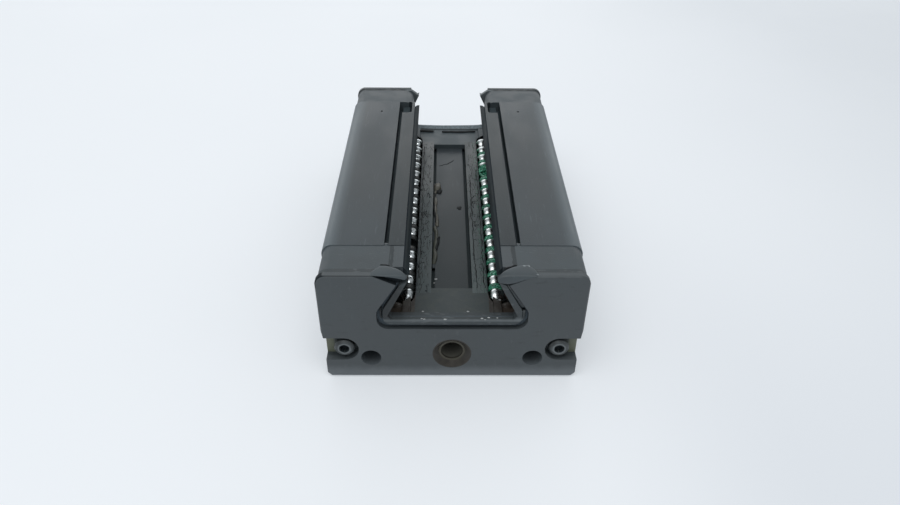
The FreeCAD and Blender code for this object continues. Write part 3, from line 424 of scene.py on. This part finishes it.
def plate_coating():
    """Coated end plates, pale towards the foot from painted bounce light, with painted shade on the cut edge
    at the left tip.
    """
    plate = Surface("plate_coating")
    plate.tone(srgb(62, 68, 71), spread=0.1, size=11.0)
    plate.scuffs(srgb(50, 55, 57), size=1.4, stretch=(3, 1, 1), strength=0.4, seed=2.0, share=0.6)
    plate.scuffs(srgb(78, 84, 87), size=0.9, stretch=(1, 1, 3), strength=0.3, seed=6.0, share=0.64)
    edge = plate.above(plate.ragged(plate.z, 2.0, 0.5), TOP - 0.35, blur=0.2)
    plate.paint(edge, PALE_DUST, 0.12)
    # Black on the cut edge at the left tip: painted shade in the wedge under the folded ear
    cut = plate.both(plate.above(plate.y, END_FACE + 0.12, blur=0.05), plate.below(plate.x, -STRIP_INNER),
                     plate.between(plate.z, TOP - 4.0, TOP - 0.15), plate.below(plate.y, 0.0))
    plate.soil_and_shade(cut, CUT_EDGE_SHADE)
    # Paler towards the bottom: painted bounce light from the floor
    foot = plate.below(plate.ragged(plate.z, 3.0, 1.5), 3.2, blur=1.8)
    plate.paint(foot, srgb(94, 100, 104), 0.8)
    paint_light_into_holes(plate)
    return plate.finish(rough=(0.45, 0.6), metal=0.05)


def wear_near_lip(rubber):
    """Dust and wear of the near lip, with its dark left flank and painted shade in the left wedge."""
    rubber.scuffs(srgb(84, 90, 93), size=0.8, stretch=(3, 1, 1), seed=3.0, share=0.56)
    worn = rubber.both(rubber.below(rubber.y, END_FACE + 0.35),
                       rubber.above(rubber.z, LIP_FLOOR - 0.5, blur=0.15),
                       rubber.below(rubber.z, LIP_FLOOR + 0.3))
    rubber.paint(worn, srgb(98, 105, 108), 0.6)
    # Black in the wedge at the left tip: painted shade
    wedge = rubber.both(rubber.below(rubber.x, -STRIP_INNER),
                        rubber.between(rubber.z, TOP - 3.8, TOP - 0.4),
                        rubber.between(rubber.y, LIP_FACE - 0.1, LIP_FACE + 0.15))
    rubber.soil_and_shade(wedge)
    left_flank = rubber.both(rubber.below(rubber.x, -STRIP_INNER, blur=1.0),
                             rubber.between(rubber.z, LIP_FLOOR, TOP - 3, blur=1.0))
    rubber.paint(left_flank, srgb(28, 33, 35), 0.85)


def wear_far_lip(rubber):
    """Pale inner tips of the far lip, and black outer ones."""
    tip = rubber.below(rubber.ragged(rubber.across, 1.0, 1.5), STRIP_OUTER - 0.5, blur=0.8)
    rubber.paint(rubber.both(rubber.above(rubber.z, TOP - 4.2, blur=0.3), tip), srgb(84, 92, 95), 0.8)
    outer_tip = rubber.both(rubber.above(rubber.z, TOP - 2.0, blur=0.3),
                            rubber.above(rubber.across, STRIP_OUTER))
    rubber.paint(outer_tip, BLACK_GREASE_AND_SHADE, 0.8)


def lip_rubber(name, tint, wear):
    """Rubber of an end lip, whose groove is painted paler and dull: painted light that lifts its shade."""
    rubber = Surface(name)
    rubber.tone(tint, spread=0.2, size=3.0)
    wear(rubber)
    # Paler colour in the groove: painted light
    groove = rubber.both(rubber.between(rubber.from_middle(), -LIP_FACE - 0.05, -LIP_FACE + 0.1, blur=0.02),
                         rubber.between(rubber.z, FLOOR - 4.5, TOP - 3.4),
                         rubber.below(rubber.across, GROOVE_REACH))
    rubber.soil_and_shade(groove, srgb(84, 94, 101))
    paint_light_into_holes(rubber)
    return rubber.finish(rough=(0.5, 0.7))


def strip_plastic():
    """Strips on the leg tops, with dusty tabs, painted shade half way along, and paler, dull sides in the
    slots as painted light.
    """
    strip = Surface("strip_plastic")
    strip.tone(srgb(44, 51, 54), spread=0.12, size=6.0, stretch=(1, 4, 1))
    strip.scuffs(srgb(76, 83, 87), size=0.4, stretch=ALONG_RAIL, strength=0.35)
    # Darker half way along: painted shade
    strip.paint(strip.between(strip.y, -25.0, 25.0, blur=18.0), srgb(34, 41, 43), 0.45)
    tab = strip.both(strip.below(strip.y, -BODY_END - 0.2),
                     strip.below(strip.ragged(strip.across, 2.0, 0.8), STRIP_OUTER - 1.6))
    strip.paint(tab, PALE_DUST, 0.35)
    # Paler, dull sides facing the slot: painted light
    sides = strip.both(strip.below(strip.z, UNDER_TOP), strip.above(strip.across, STRIP_OUTER - 0.1))
    strip.soil_and_shade(sides, SLOT_PAINTED_LIGHT)
    notch = strip.both(strip.below(strip.z, UNDER_TOP), strip.above(strip.y, NOTCH_START - 0.1))
    strip.soil_and_shade(notch)
    return strip.finish(rough=(0.35, 0.45), specular=0.29)


def side_lip_rubber():
    """Lips of the strips, black at their root and along their edge."""
    rubber = Surface("side_lip_rubber")
    rubber.tone(srgb(34, 42, 45), spread=0.25, size=2.0, stretch=(1, 6, 1))
    rubber.soil_and_shade(rubber.above(rubber.across, STRIP_INNER - 0.35, blur=0.12))
    rubber.soil_and_shade(rubber.below(rubber.across, STRIP_INNER - 1.3), strength=0.7)
    return rubber.finish(rough=(0.5, 0.7), specular=0.15)


# place across and seed of the winding lines along a retainer
WINDING_LINES = ((POCKET_EDGE + 1.3, 11.0), (BALL_SLOT - 1.4, 12.0), (BALL_SLOT - 0.7, 13.0))
LINE_HALF = 0.09


def retainer_plastic():
    """Retainers with greasy streaks beside the balls, painted shade towards the far end and black painted
    shade below the floor.
    """
    plastic = Surface("retainer_plastic")
    plastic.tone(srgb(51, 62, 64), spread=0.16, size=5.0, stretch=(1, 4, 1))
    streaks = plastic.patches(0.8, 0.58, 0.7, stretch=(1, 5, 1), detail=5.0, seed=2.0)
    plastic.paint(streaks, srgb(34, 38, 39), 0.5)
    areas = plastic.patches(5.0, 0.42, 0.6, stretch=(1, 2, 1), detail=2.0, seed=3.0)
    top = plastic.above(plastic.z, FLOOR - 0.1)
    plastic.wrinkles(plastic.both(areas, top), 2.4, (1, 3, 1), srgb(22, 26, 27), seed=2.0)
    beside = plastic.both(top, plastic.between(plastic.across, POCKET_EDGE + 0.6, BALL_SLOT - 0.4, blur=0.3))
    crumpled = plastic.both(beside, plastic.patches(3.0, 0.4, 0.5, seed=5.0))
    plastic.wrinkles(crumpled, 1.3, (1, 5, 1), srgb(24, 29, 30), seed=7.0)
    for across, seed in WINDING_LINES:
        course = plastic.ragged(plastic.across, 4.0, 2.6, seed)
        broken = plastic.patches(4.0, 0.48, 0.54, seed=seed + 0.5)
        line = plastic.between(course, across - LINE_HALF, across + LINE_HALF, blur=0.05)
        plastic.soil_and_shade(plastic.both(top, broken, line), srgb(20, 24, 25), 0.7)
    # Darker towards the far end: painted shade
    plastic.paint(plastic.ease(plastic.y, 5.0, BODY_END - 8), srgb(36, 45, 47), 0.65)
    near_right = plastic.both(plastic.ease(plastic.y, 0.0, -BODY_END), plastic.above(plastic.x, 0.0))
    plastic.paint(near_right, srgb(76, 87, 87), 0.6)
    green = plastic.both(plastic.above(plastic.x, BALL_SLOT - 1.6, blur=0.6),
                         plastic.patches(0.6, 0.56, 0.62, seed=8.0))
    plastic.paint(green, srgb(44, 104, 82), 0.7)
    dust = plastic.both(top, plastic.patches(0.6, 0.66, 0.72, stretch=(1, 2, 1), detail=3.0, seed=6.0))
    plastic.paint(dust, PALE_DUST, 0.5)
    edge = plastic.above(plastic.ragged(plastic.across, 1.5, 1.4), BALL_SLOT - 0.3, blur=0.3)
    plastic.soil_and_shade(edge, strength=0.7)
    # Black on the faces below the floor, in the grooves beside the pocket: painted shade
    plastic.soil_and_shade(plastic.below(plastic.z, FLOOR - 0.15))
    return plastic.finish(rough=(0.3, 0.5))


def plain_plastic(name, tint, flecks=None):
    """Moulded plastic under patches of grease, with flecks of another colour if given."""
    plastic = Surface(name)
    plastic.tone(tint, spread=0.22, size=2.5)
    plastic.scuffs(BLACK_GREASE_AND_SHADE, size=1.0, strength=0.75, seed=5.0, share=0.52)
    if flecks:
        plastic.scuffs(flecks, size=0.6, strength=0.9, seed=9.0, share=0.5)
    return plastic.finish(rough=(0.4, 0.6))


def ball_steel(name, tint, cover, rough, specks=None):
    """Polished balls with a share of each covered by grease, which is thick beside the retainer.

    Without specks the grease is brown and hides the metal.
    """
    steel = Surface(name)
    steel.tone(tint, spread=0.06, size=3.0)
    film = srgb(52, 58, 58) if specks else BROWN_GREASE
    steel.paint(steel.patches(0.8, 0.66 - cover, 0.84 - cover, seed=2.5), film)
    if specks:
        inner = steel.below(steel.ragged(steel.across, 0.9, 1.2, seed=6.0), BALL_SLOT + 0.95, blur=0.4)
        steel.paint(inner, srgb(30, 42, 40), 0.9)
        steel.paint(steel.both(inner, steel.patches(0.55, 0.52, 0.6, seed=4.0)), specks)
    metal = 1.0 if specks else 0.0
    return steel.finish(rough, metal, specular=0.3, relief=0.02)


SOCKET_RADIUS = 1.36
SOCKET_HIGHLIGHT_RING = (1.45, 1.85)


def screw_steel():
    """Black screws with a bright ring round the socket, a painted highlight on its chamfer, and painted shade
    in the socket.
    """
    steel = Surface("screw_steel")
    steel.tone(srgb(56, 61, 63), spread=0.25, size=1.2)
    distance = steel.radius_about(SCREW_ACROSS, SCREW_HEIGHT)
    # Bright ring on the socket's chamfer: painted highlight
    ring = steel.between(steel.ragged(distance, 0.8, 0.4), *SOCKET_HIGHLIGHT_RING, blur=0.12)
    steel.paint(ring, srgb(104, 110, 112), 0.7)
    # Black inside the socket: painted shade
    steel.soil_and_shade(steel.below(distance, SOCKET_RADIUS, blur=0.03))
    return steel.finish(rough=(0.35, 0.5), metal=0.2)


def bush_brass():
    """Port bush with a dark greasy cone, a paler rim at the bore and painted light inside the bore."""
    brass = Surface("bush_brass")
    brass.tone(srgb(46, 43, 38), spread=0.25, size=1.5)
    distance = brass.radius_about(0.0, PORT_HEIGHT)
    rim = brass.between(distance, PORT_RADIUS + 0.04, PORT_RADIUS + 0.6)
    brass.paint(rim, srgb(72, 70, 58), 0.7)
    # Paler, dull inside of the bore: painted light
    inside = brass.both(brass.below(distance, PORT_RADIUS + 0.03, blur=0.03),
                        brass.below(brass.from_middle(), -END_FACE - 1.8, blur=0.3))
    brass.soil_and_shade(inside, srgb(98, 98, 92))
    return brass.finish(rough=(0.35, 0.5), metal=0.3)


def grease(name, tint, rough):
    """Plain cloudy surface of a smear, a speck or soft rubber."""
    paste = Surface(name)
    paste.tone(tint, spread=0.3, size=0.8)
    return paste.finish(rough, specular=0.3, relief=0.2)


GREEN_SPECKS = srgb(52, 132, 102)
GREY_SPECKS = srgb(96, 102, 102)

MATERIALS = {
    "body": body_steel(),
    "cap": cap_plastic(),
    "plate": plate_coating(),
    "near_lip": lip_rubber("near_lip_rubber", srgb(50, 57, 60), wear_near_lip),
    "far_lip": lip_rubber("far_lip_rubber", srgb(46, 52, 55), wear_far_lip),
    "strip": strip_plastic(),
    "side_lip": side_lip_rubber(),
    "retainer": retainer_plastic(),
    "guide": plain_plastic("guide_plastic", srgb(46, 48, 48)),
    "tube": plain_plastic("tube_plastic", srgb(52, 55, 56)),
    "green": plain_plastic("green_plastic", srgb(30, 120, 92), flecks=srgb(130, 200, 172)),
    "dark_spacer": plain_plastic("dark_plastic", srgb(34, 40, 40)),
    "bright_ball": ball_steel("bright_ball_steel", srgb(206, 211, 211), 0.03, (0.22, 0.3), GREEN_SPECKS),
    "smeared_ball": ball_steel("smeared_ball_steel", srgb(184, 190, 192), 0.19, (0.2, 0.28), GREY_SPECKS),
    # Hidden balls, dark brown: grease, with painted shade for those in the dark corners of the near cap
    "greasy_and_shaded_ball": ball_steel("greasy_and_shaded_ball_steel", srgb(36, 32, 29), 0.5, (0.5, 0.7)),
    "screw": screw_steel(),
    "bush": bush_brass(),
    "black_grease_and_shade": grease("black_grease_and_shade", srgb(22, 26, 28), (0.6, 0.8)),
    "brown_grease": grease("brown_grease", srgb(78, 77, 70), (0.3, 0.45)),
    "olive_grease": grease("olive_grease", srgb(58, 61, 54), (0.35, 0.5)),
    "pale_rubber": grease("pale_rubber", srgb(104, 115, 120), (0.4, 0.55)),
    "dust": grease("dust", srgb(168, 172, 172), (0.6, 0.8)),
    "scuff": grease("scuff", srgb(112, 119, 122), (0.5, 0.7)),
}

# material of each node, by the start of its name
NODE_MATERIALS = {
    "carriage_body": "body",
    "end_cap": "cap",
    "seal_plate": "plate",
    "seal_lip_front": "near_lip",
    "seal_lip_rear": "far_lip",
    "port_bush": "bush",
    "cap_screws": "screw",
    "return_guides": "guide",
    "inner_retainer": "retainer",
    "corner_retainer": "retainer",
    "side_seal": "strip",
    "side_lip": "side_lip",
    "return_tube": "tube",
    "upper_right_loaded_balls": "bright_ball",
    "upper_right_rear_turn_balls": "bright_ball",
    "upper_left_loaded_balls": "smeared_ball",
    "upper_left_rear_turn_balls": "smeared_ball",
}


def material_of(name):
    """Material of a node. Balls and spacers that the list lacks are the hidden ones, greasy and darkened with
    painted shade.
    """
    for start, kind in NODE_MATERIALS.items():
        if name.startswith(start):
            return MATERIALS[kind]
    return MATERIALS["greasy_and_shaded_ball" if name.endswith("_balls") else "dark_spacer"]


for name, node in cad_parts.items():
    node.data.materials.clear()
    node.data.materials.append(material_of(name))

# Pieces that the solids lack

SMEAR_STEP = 0.9
SMEAR_SUNK = 0.06
LOWEST_CREST = 0.5
SHOULDER_REACH = 0.6
SHOULDER_RISE = 0.7
LUMP_RANGE = (0.75, 1.15)


def new_piece(name, mesh, material, body="block"):
    """Object for a finished mesh, which moves with a body of the frame."""
    piece = bpy.data.objects.new(name, bpy.data.meshes.new(name))
    mesh.to_mesh(piece.data)
    mesh.free()
    piece.data.materials.append(MATERIALS[material])
    for polygon in piece.data.polygons:
        polygon.use_smooth = True
    scene.collection.objects.link(piece)
    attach(piece, body)
    return piece


def loft(mesh, rings):
    """Closed skin over rings that have the same number of points."""
    loops = [[mesh.verts.new(Vector(point) * MM) for point in ring] for ring in rings]
    for first, second in zip(loops, loops[1:]):
        for number in range(len(first)):
            following = (number + 1) % len(first)
            mesh.faces.new((first[number], first[following], second[following], second[number]))
    mesh.faces.new(loops[0][::-1])
    mesh.faces.new(loops[-1])
    bmesh.ops.recalc_face_normals(mesh, faces=mesh.faces)


def soften(piece, levels):
    """Round off a coarse mesh."""
    rounding = piece.modifiers.new("rounding", "SUBSURF")
    rounding.levels = rounding.render_levels = levels


def at_height(points, height):
    """Points (x, y) of a level path or outline, raised to a height."""
    return [(x, y, height) for x, y in points]


def smear(name, path, width, height, material, seed, ragged=0.5, step=SMEAR_STEP, wander=0.4):
    """Ridge along a level path, uneven in width, height and course, for grease, scratches, scuffs and painted
    shadows.

    path holds (x, y, z) points on the surface, in millimetres.
    """
    chance = random.Random(seed)
    mesh = bmesh.new()
    sunk = Vector((0, 0, -SMEAR_SUNK))
    rings = []
    for start, stop in zip(path, path[1:]):
        start = Vector(start)
        run = Vector(stop) - start
        aside = Vector((-run.y, run.x, 0)).normalized()
        steps = max(2, round(run.length / step))
        for number in range(steps):
            middle = start + run * (number / steps) + aside * chance.uniform(-wander, wander) * width
            left = aside * width * chance.uniform(1 - ragged, 1) / 2
            right = -aside * width * chance.uniform(1 - ragged, 1) / 2
            crest = Vector((0, 0, height * chance.uniform(LOWEST_CREST, 1)))
            shoulder = crest * SHOULDER_RISE
            rings.append([middle + left + sunk, middle + left * SHOULDER_REACH + shoulder, middle + crest,
                          middle + right * SHOULDER_REACH + shoulder, middle + right + sunk])
    loft(mesh, rings)
    soften(new_piece(name, mesh, material), 1)


def flake(name, place, size, material, seed):
    """Small uneven lump on a level surface."""
    chance = random.Random(seed)
    mesh = bmesh.new()
    bmesh.ops.create_icosphere(mesh, subdivisions=2, radius=1.0)
    for vertex in mesh.verts:
        vertex.co *= chance.uniform(*LUMP_RANGE)
        vertex.co = Vector(place) * MM + Vector(a * b for a, b in zip(vertex.co, size)) * MM
    new_piece(name, mesh, material)


def slab(name, outline, thickness, material, soft):
    """Flat piece with softened edges. outline holds the corners of one side, thickness leads to the other."""
    mesh = bmesh.new()
    lower = [mesh.verts.new(Vector(point) * MM) for point in outline]
    face = mesh.faces.new(lower)
    raised = bmesh.ops.extrude_face_region(mesh, geom=[face])["geom"]
    top = [item for item in raised if isinstance(item, bmesh.types.BMVert)]
    bmesh.ops.translate(mesh, verts=top, vec=Vector(thickness) * MM)
    bmesh.ops.recalc_face_normals(mesh, faces=mesh.faces)
    bmesh.ops.bevel(mesh, geom=mesh.edges[:], offset=soft * MM, segments=2, affect="EDGES")
    new_piece(name, mesh, material)


# Larger spacers for the two rows that show

SPACER_RADIUS = 2.1
SPACER_SIDES = 28
SPACER_HALF_WEB = 0.2
SPACER_STATIONS = (0.1, 0.5, 0.8, 1.0)
DISH_GAP = 0.05
BALL_GAP = 0.5
LOST_BALL = 23.6
FALLEN_RAISE = 0.8
FALLEN_LEAN = 0.5


def add_disc(mesh, profile, point):
    """Disc turned from (radius, reach) pairs. point sets each across, up and reach in place."""
    angles = [2 * math.pi * step / SPACER_SIDES for step in range(SPACER_SIDES)]
    loft(mesh, [[point(radius * math.cos(angle), radius * math.sin(angle), reach) for angle in angles]
                for radius, reach in profile])


def show_spacers(side, material):
    """Dished discs in the places of a loaded row's spacers, with a fallen one in the right row's gap."""
    node = "upper_%s_loaded_spacers" % side
    low, high = box_mm(node)
    balls_low, balls_high = box_mm("upper_%s_loaded_balls" % side)
    ball_radius = (balls_high.z - balls_low.z) / 2
    pitch = ball_radius * 2 + BALL_GAP
    rim = pitch / 2 - math.sqrt((ball_radius + DISH_GAP) ** 2 - SPACER_RADIUS ** 2)
    profile = [(SPACER_RADIUS * share, rim - (rim - SPACER_HALF_WEB) * (1 - share ** 2))
               for share in SPACER_STATIONS]
    turned = [(radius, -reach) for radius, reach in profile] + profile[::-1]
    middle = (low + high) / 2
    count = round((high.y - low.y) / pitch)

    def upright(along):
        return lambda across, up, reach: (middle.x + across, along + reach, middle.z + up)

    def fallen(across, up, reach):
        return (middle.x + across, LOST_BALL + up, middle.z + FALLEN_RAISE + reach + up * FALLEN_LEAN)

    mesh = bmesh.new()
    for number in range(count + 1):
        add_disc(mesh, turned, upright(middle.y + (number - count / 2) * pitch))
    if side == "right":
        add_disc(mesh, turned, fallen)
    piece = new_piece("spacers_" + side, mesh, material, "upper_%s_loaded" % side)
    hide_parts(node)


show_spacers("right", "green")
# The left row's spacers take the dark plastic: grease and painted shade
show_spacers("left", "dark_spacer")

# Torn and folded rubber of the near seal

GROOVE_FILLS = {
    "right_flank": [(17.6, 25.3), (19.2, 25.1), (14.5, 32.5), (13.5, 32.5)],
    "right_corner": [(18.1, 23.8), (18.1, 21.7), (17.2, 20.7), (18.3, 20.3), (19.1, 21.6), (19.1, 24.2)],
    "left_corner": [(-18.5, 25.0), (-19.1, 24.2), (-19.0, 21.4), (-18.4, 20.9), (-18.5, 22.6)],
}
FILL_INSET = 0.25
FILL_DEPTH = 1.2
# place across, back edge, crest height and lower front edge of each section of a folded ear
RIGHT_EAR = [
    (11.2, -57.7, 34.9, 33.7), (12.0, -56.8, 35.5, 33.2), (13.2, -55.6, 35.9, 32.9),
    (15.0, -54.5, 36.0, 32.9), (17.0, -53.7, 36.0, 33.8), (19.0, -53.4, 36.0, 34.8),
    (20.4, -54.6, 35.95, 35.3), (21.5, -56.8, 35.8, 35.55),
]
LEFT_EAR = [
    (-11.7, -57.3, 35.1, 34.2), (-12.6, -56.2, 35.7, 34.2), (-14.0, -55.0, 35.85, 34.7),
    (-15.5, -54.3, 35.85, 35.0), (-17.0, -53.7, 35.85, 35.25), (-18.5, -53.7, 35.8, 35.45),
    (-20.0, -55.2, 35.75, 35.6), (-20.9, -56.6, 35.7, 35.65),
]
EAR_ROUND = 0.3
EAR_CROWN = 0.05
EAR_FRONT_ROUND = 0.9
EAR_FALL_SHARE = 0.7
ROUND_START = 0.1
ROUND_MIDDLE = 0.3
EAR_UNDERSIDE = 0.8
EAR_SAG = 0.1
EAR_FOOT = 1.2
EAR_OFFSET = 0.1
EAR_SHADOW = [(13.0, -55.2), (15.0, -54.1), (17.2, -53.3)]
EAR_SHADOW_LEFT = [(-18.6, -53.2), (-16.8, -53.4), (-14.9, -54.2)]
EAR_SCUFF_AND_HIGHLIGHT = [(17.7, -54.0), (19.2, -54.0), (20.3, -55.2)]
EAR_SCUFF_HEIGHT = 35.95


def ear(name, sections, front):
    """Rubber ear folded back over the cap, with its front face at the given place."""
    rings = []
    for across, back, crest, low in sections:
        fall = min(EAR_FRONT_ROUND, (crest - low) * EAR_FALL_SHARE)
        side = [
            (back, CAP_TOP - EAR_ROUND),
            (back, crest - EAR_ROUND),
            (back - EAR_ROUND, crest - EAR_CROWN),
            ((back + front + EAR_FRONT_ROUND) / 2, crest),
            (front + EAR_FRONT_ROUND, crest - fall * ROUND_START),
            (front + EAR_FRONT_ROUND * ROUND_MIDDLE, crest - fall * ROUND_MIDDLE),
            (front, crest - fall),
            (front, low),
            (front + EAR_UNDERSIDE, low - EAR_SAG),
            (front + EAR_FOOT, CAP_TOP - EAR_ROUND),
        ]
        rings.append([(across, along, up) for along, up in side])
    mesh = bmesh.new()
    loft(mesh, rings)
    soften(new_piece(name, mesh, "cap"), 2)


ear("ear_right", RIGHT_EAR, END_FACE - EAR_OFFSET)
ear("ear_left", LEFT_EAR, END_FACE + EAR_OFFSET)
# Black smears behind the folded ears: painted shadow where they lift off the cap
smear("ear_shadow", at_height(EAR_SHADOW, CAP_TOP), width=0.9, height=0.4,
      material="black_grease_and_shade", seed=11)
smear("ear_shadow_left", at_height(EAR_SHADOW_LEFT, CAP_TOP), width=0.8, height=0.2,
      material="black_grease_and_shade", seed=14)
# Pale smear on the right ear: a scuff, with a painted highlight where its corner catches the light
smear("ear_scuff_and_highlight", at_height(EAR_SCUFF_AND_HIGHLIGHT, EAR_SCUFF_HEIGHT), width=1.1, height=0.12,
      material="scuff", seed=12, ragged=0.3)
flake("plate_scuff", (20.9, -57.5, TOP), size=(0.7, 0.35, 0.12),
      material="scuff", seed=13)
for name, outline in GROOVE_FILLS.items():
    slab("groove_" + name, [(x, END_FACE + FILL_INSET, z) for x, z in outline], (0, FILL_DEPTH, 0),
         material="near_lip", soft=0.2)

# Ends of the leg slots

PLUG_LENGTH = 1.1
PLUG_DEPTH = 1.3
PLUG_HEIGHT = 1.25
PLUG_END = -BODY_END + PLUG_LENGTH
PLUG = [(STRIP_OUTER, -BODY_END), (SLOT_OUTER, -BODY_END), (SLOT_OUTER, PLUG_END), (STRIP_OUTER, PLUG_END)]
for name, side in (("slot_end_left", -1), ("slot_end_right", 1)):
    corners = [(side * x, y) for x, y in PLUG]
    slab(name, at_height(corners, TOP - PLUG_DEPTH), (0, 0, PLUG_HEIGHT),
         material="body", soft=0.05)

# Grease along the channel

BED_NEAR = -31.0
BED_FAR = 17.0
BED_OUTER = -POCKET_EDGE - 0.05
BED_INNER = -LAND_HALF + 0.1
BED_DEPTH = 1.0
BED_HEIGHT = 1.05
BED = [(BED_OUTER, BED_NEAR), (BED_INNER, BED_NEAR), (BED_INNER, BED_FAR), (BED_OUTER, BED_FAR)]
STRAND_STEP = 1.8
EDGE_STEP = 1.6
EDGE_RAISE = 0.05
UPPER_STRAND = [(-4.9, 12.0), (-5.3, 8.2), (-4.8, 3.5), (-5.1, -1.4), (-4.4, -6.1), (-4.7, -12.1)]
UPPER_EDGE = [(-5.4, 10.4), (-5.5, 6.0), (-5.3, 1.1), (-4.9, -5.0), (-4.3, -9.8)]
LOWER_STRAND = [(-4.8, -9.5), (-4.4, -15.1), (-4.7, -18.8), (-5.1, -22.6), (-5.1, -26.7), (-4.9, -31.5)]
LOWER_EDGE = [(-3.8, -15.4), (-3.9, -18.4), (-4.4, -21.0), (-4.7, -24.6)]
SCRATCH = [(-4.0, 29.6), (-0.8, 31.0), (2.0, 34.6)]

slab("grease_bed", at_height(BED, LAND - BED_DEPTH), (0, 0, BED_HEIGHT),
     material="body", soft=0.1)
smear("strand_upper", at_height(UPPER_STRAND, LAND), width=1.9, height=0.6,
      material="brown_grease", seed=3, step=STRAND_STEP, wander=0.15)
smear("strand_lower", at_height(LOWER_STRAND, LAND), width=2.3, height=0.6,
      material="olive_grease", seed=4, step=STRAND_STEP, wander=0.15)
smear("strand_upper_edge", at_height(UPPER_EDGE, LAND + EDGE_RAISE), width=1.3, height=0.7,
      material="black_grease_and_shade", seed=5, ragged=0.7, step=EDGE_STEP, wander=0.2)
smear("strand_lower_edge", at_height(LOWER_EDGE, LAND + EDGE_RAISE), width=1.6, height=0.75,
      material="black_grease_and_shade", seed=6, ragged=0.6, step=EDGE_STEP, wander=0.2)
flake("grease_lump", (-4.4, 14.3, LAND + 0.15), size=(1.4, 3.2, 0.7),
      material="brown_grease", seed=7)
flake("grease_lump_edge", (-3.8, 11.6, LAND + EDGE_RAISE), size=(1.1, 1.7, 0.35),
      material="black_grease_and_shade", seed=8)
smear("scratch", at_height(SCRATCH, LAND), width=0.9, height=0.12,
      material="black_grease_and_shade", seed=9)
flake("land_mark", (2.9, 1.3, LAND), size=(0.9, 1.2, 0.08),
      material="black_grease_and_shade", seed=10)

# Films on the retainers and at the far cap

RETAINER_FILMS = {
    "right_outer": [(9.4, 23.7), (9.5, 10.0), (9.4, -19.5), (9.3, -44.0)],
    "right_inner": [(7.0, 16.7), (6.9, -24.7), (7.2, -44.0)],
    "left": [(-9.4, 41.7), (-9.3, 9.9), (-9.2, -19.6), (-9.4, -39.3)],
}
FILM_SEED = 20
FAR_FILM_LEFT = [(-13.4, 54.0), (-9.0, 53.6), (-4.2, 53.2)]
FAR_FILM_RIGHT = [(-3.0, 53.3), (4.0, 53.2), (12.0, 53.2)]
FAR_FILM_STEP = 1.5

for number, (name, path) in enumerate(RETAINER_FILMS.items()):
    smear("film_" + name, at_height(path, FLOOR), width=0.6, height=0.16,
          material="black_grease_and_shade", seed=FILM_SEED + number, ragged=0.95)
smear("far_film_left", at_height(FAR_FILM_LEFT, FLOOR), width=2.0, height=0.8, material="black_grease_and_shade",
      seed=30, ragged=0.4, step=FAR_FILM_STEP, wander=0.12)
smear("far_film_right", at_height(FAR_FILM_RIGHT, FLOOR), width=1.8, height=0.75, material="black_grease_and_shade",
      seed=31, ragged=0.4, step=FAR_FILM_STEP, wander=0.12)
flake("far_film_spot", (12.3, 54.1, FLOOR), size=(0.6, 0.8, 0.7),
      material="black_grease_and_shade", seed=32)

# Bent rim of the far lip: place across and lift of each section, and the profile along the rail

RIM_LINE = [
    (-13.5, 0.6), (-12.3, 0.1), (-7.0, 0.0), (-3.0, -0.15),
    (1.0, -0.05), (7.0, 0.0), (12.3, 0.15), (13.5, 0.7),
]
RIM_PROFILE = [(55.3, -0.15), (56.3, 0.5), (57.3, 1.0), (57.9, 0.8), (57.9, -0.3)]
rim = bmesh.new()
loft(rim, [[(across, along, FLOOR + lift + up) for along, up in RIM_PROFILE] for across, lift in RIM_LINE])
soften(new_piece("far_rim", rim, "pale_rubber"), 2)

# Pale specks

SPECKS = [
    (-4.5, -36.7, LAND), (-5.0, -38.5, LAND), (-1.9, -57.9, LIP_FLOOR), (8.6, -58.0, LIP_FLOOR),
    (11.8, -57.3, LIP_FLOOR), (-7.9, -52.8, FLOOR), (4.3, -52.8, FLOOR), (-5.6, -53.4, FLOOR),
    (-8.1, -57.6, LIP_FLOOR), (-7.4, -57.8, LIP_FLOOR), (7.8, -57.5, LIP_FLOOR), (9.6, -57.2, LIP_FLOOR),
    (13.1, -48.9, FLOOR + 0.8),
]
SPECK_SIZE = (0.45, 0.24)
SPECK_HEIGHT = 0.1
SPECK_RANGE = (0.5, 1.1)
SPECK_SEED = 40
for number, place in enumerate(SPECKS):
    spread = random.Random(number).uniform(*SPECK_RANGE)
    size = (SPECK_SIZE[0] * spread, SPECK_SIZE[1] * spread, SPECK_HEIGHT)
    flake("speck_%d" % number, place, size, material="dust", seed=SPECK_SEED + number)

# Pale floor, lit a little from within so that it keeps hardly any shadow

FLOOR_SIZE = 4.0
FLOOR_GLOW = 0.32
bpy.ops.mesh.primitive_plane_add(size=FLOOR_SIZE, location=(0, 0, 0))
floor = bpy.context.object
floor.name = "floor"
cloth = Surface("floor_sheet")
cloth.tone(srgb(202, 205, 208), spread=0.012, size=120.0)
# Darker towards the right and the near right: painted shadow on the floor
cloth.paint(cloth.ease(cloth.x, 20.0, 260.0), srgb(176, 180, 184), 0.8)
near_right = cloth.both(cloth.ease(cloth.x, 30.0, 90.0), cloth.ease(cloth.y, 40.0, -110.0))
cloth.paint(near_right, srgb(178, 182, 187), 0.7)
cloth.shader.inputs["Emission Color"].default_value = srgb(226, 232, 238)
cloth.shader.inputs["Emission Strength"].default_value = FLOOR_GLOW
floor.data.materials.append(cloth.finish(rough=(0.6, 0.75), specular=0.2, relief=0.03))
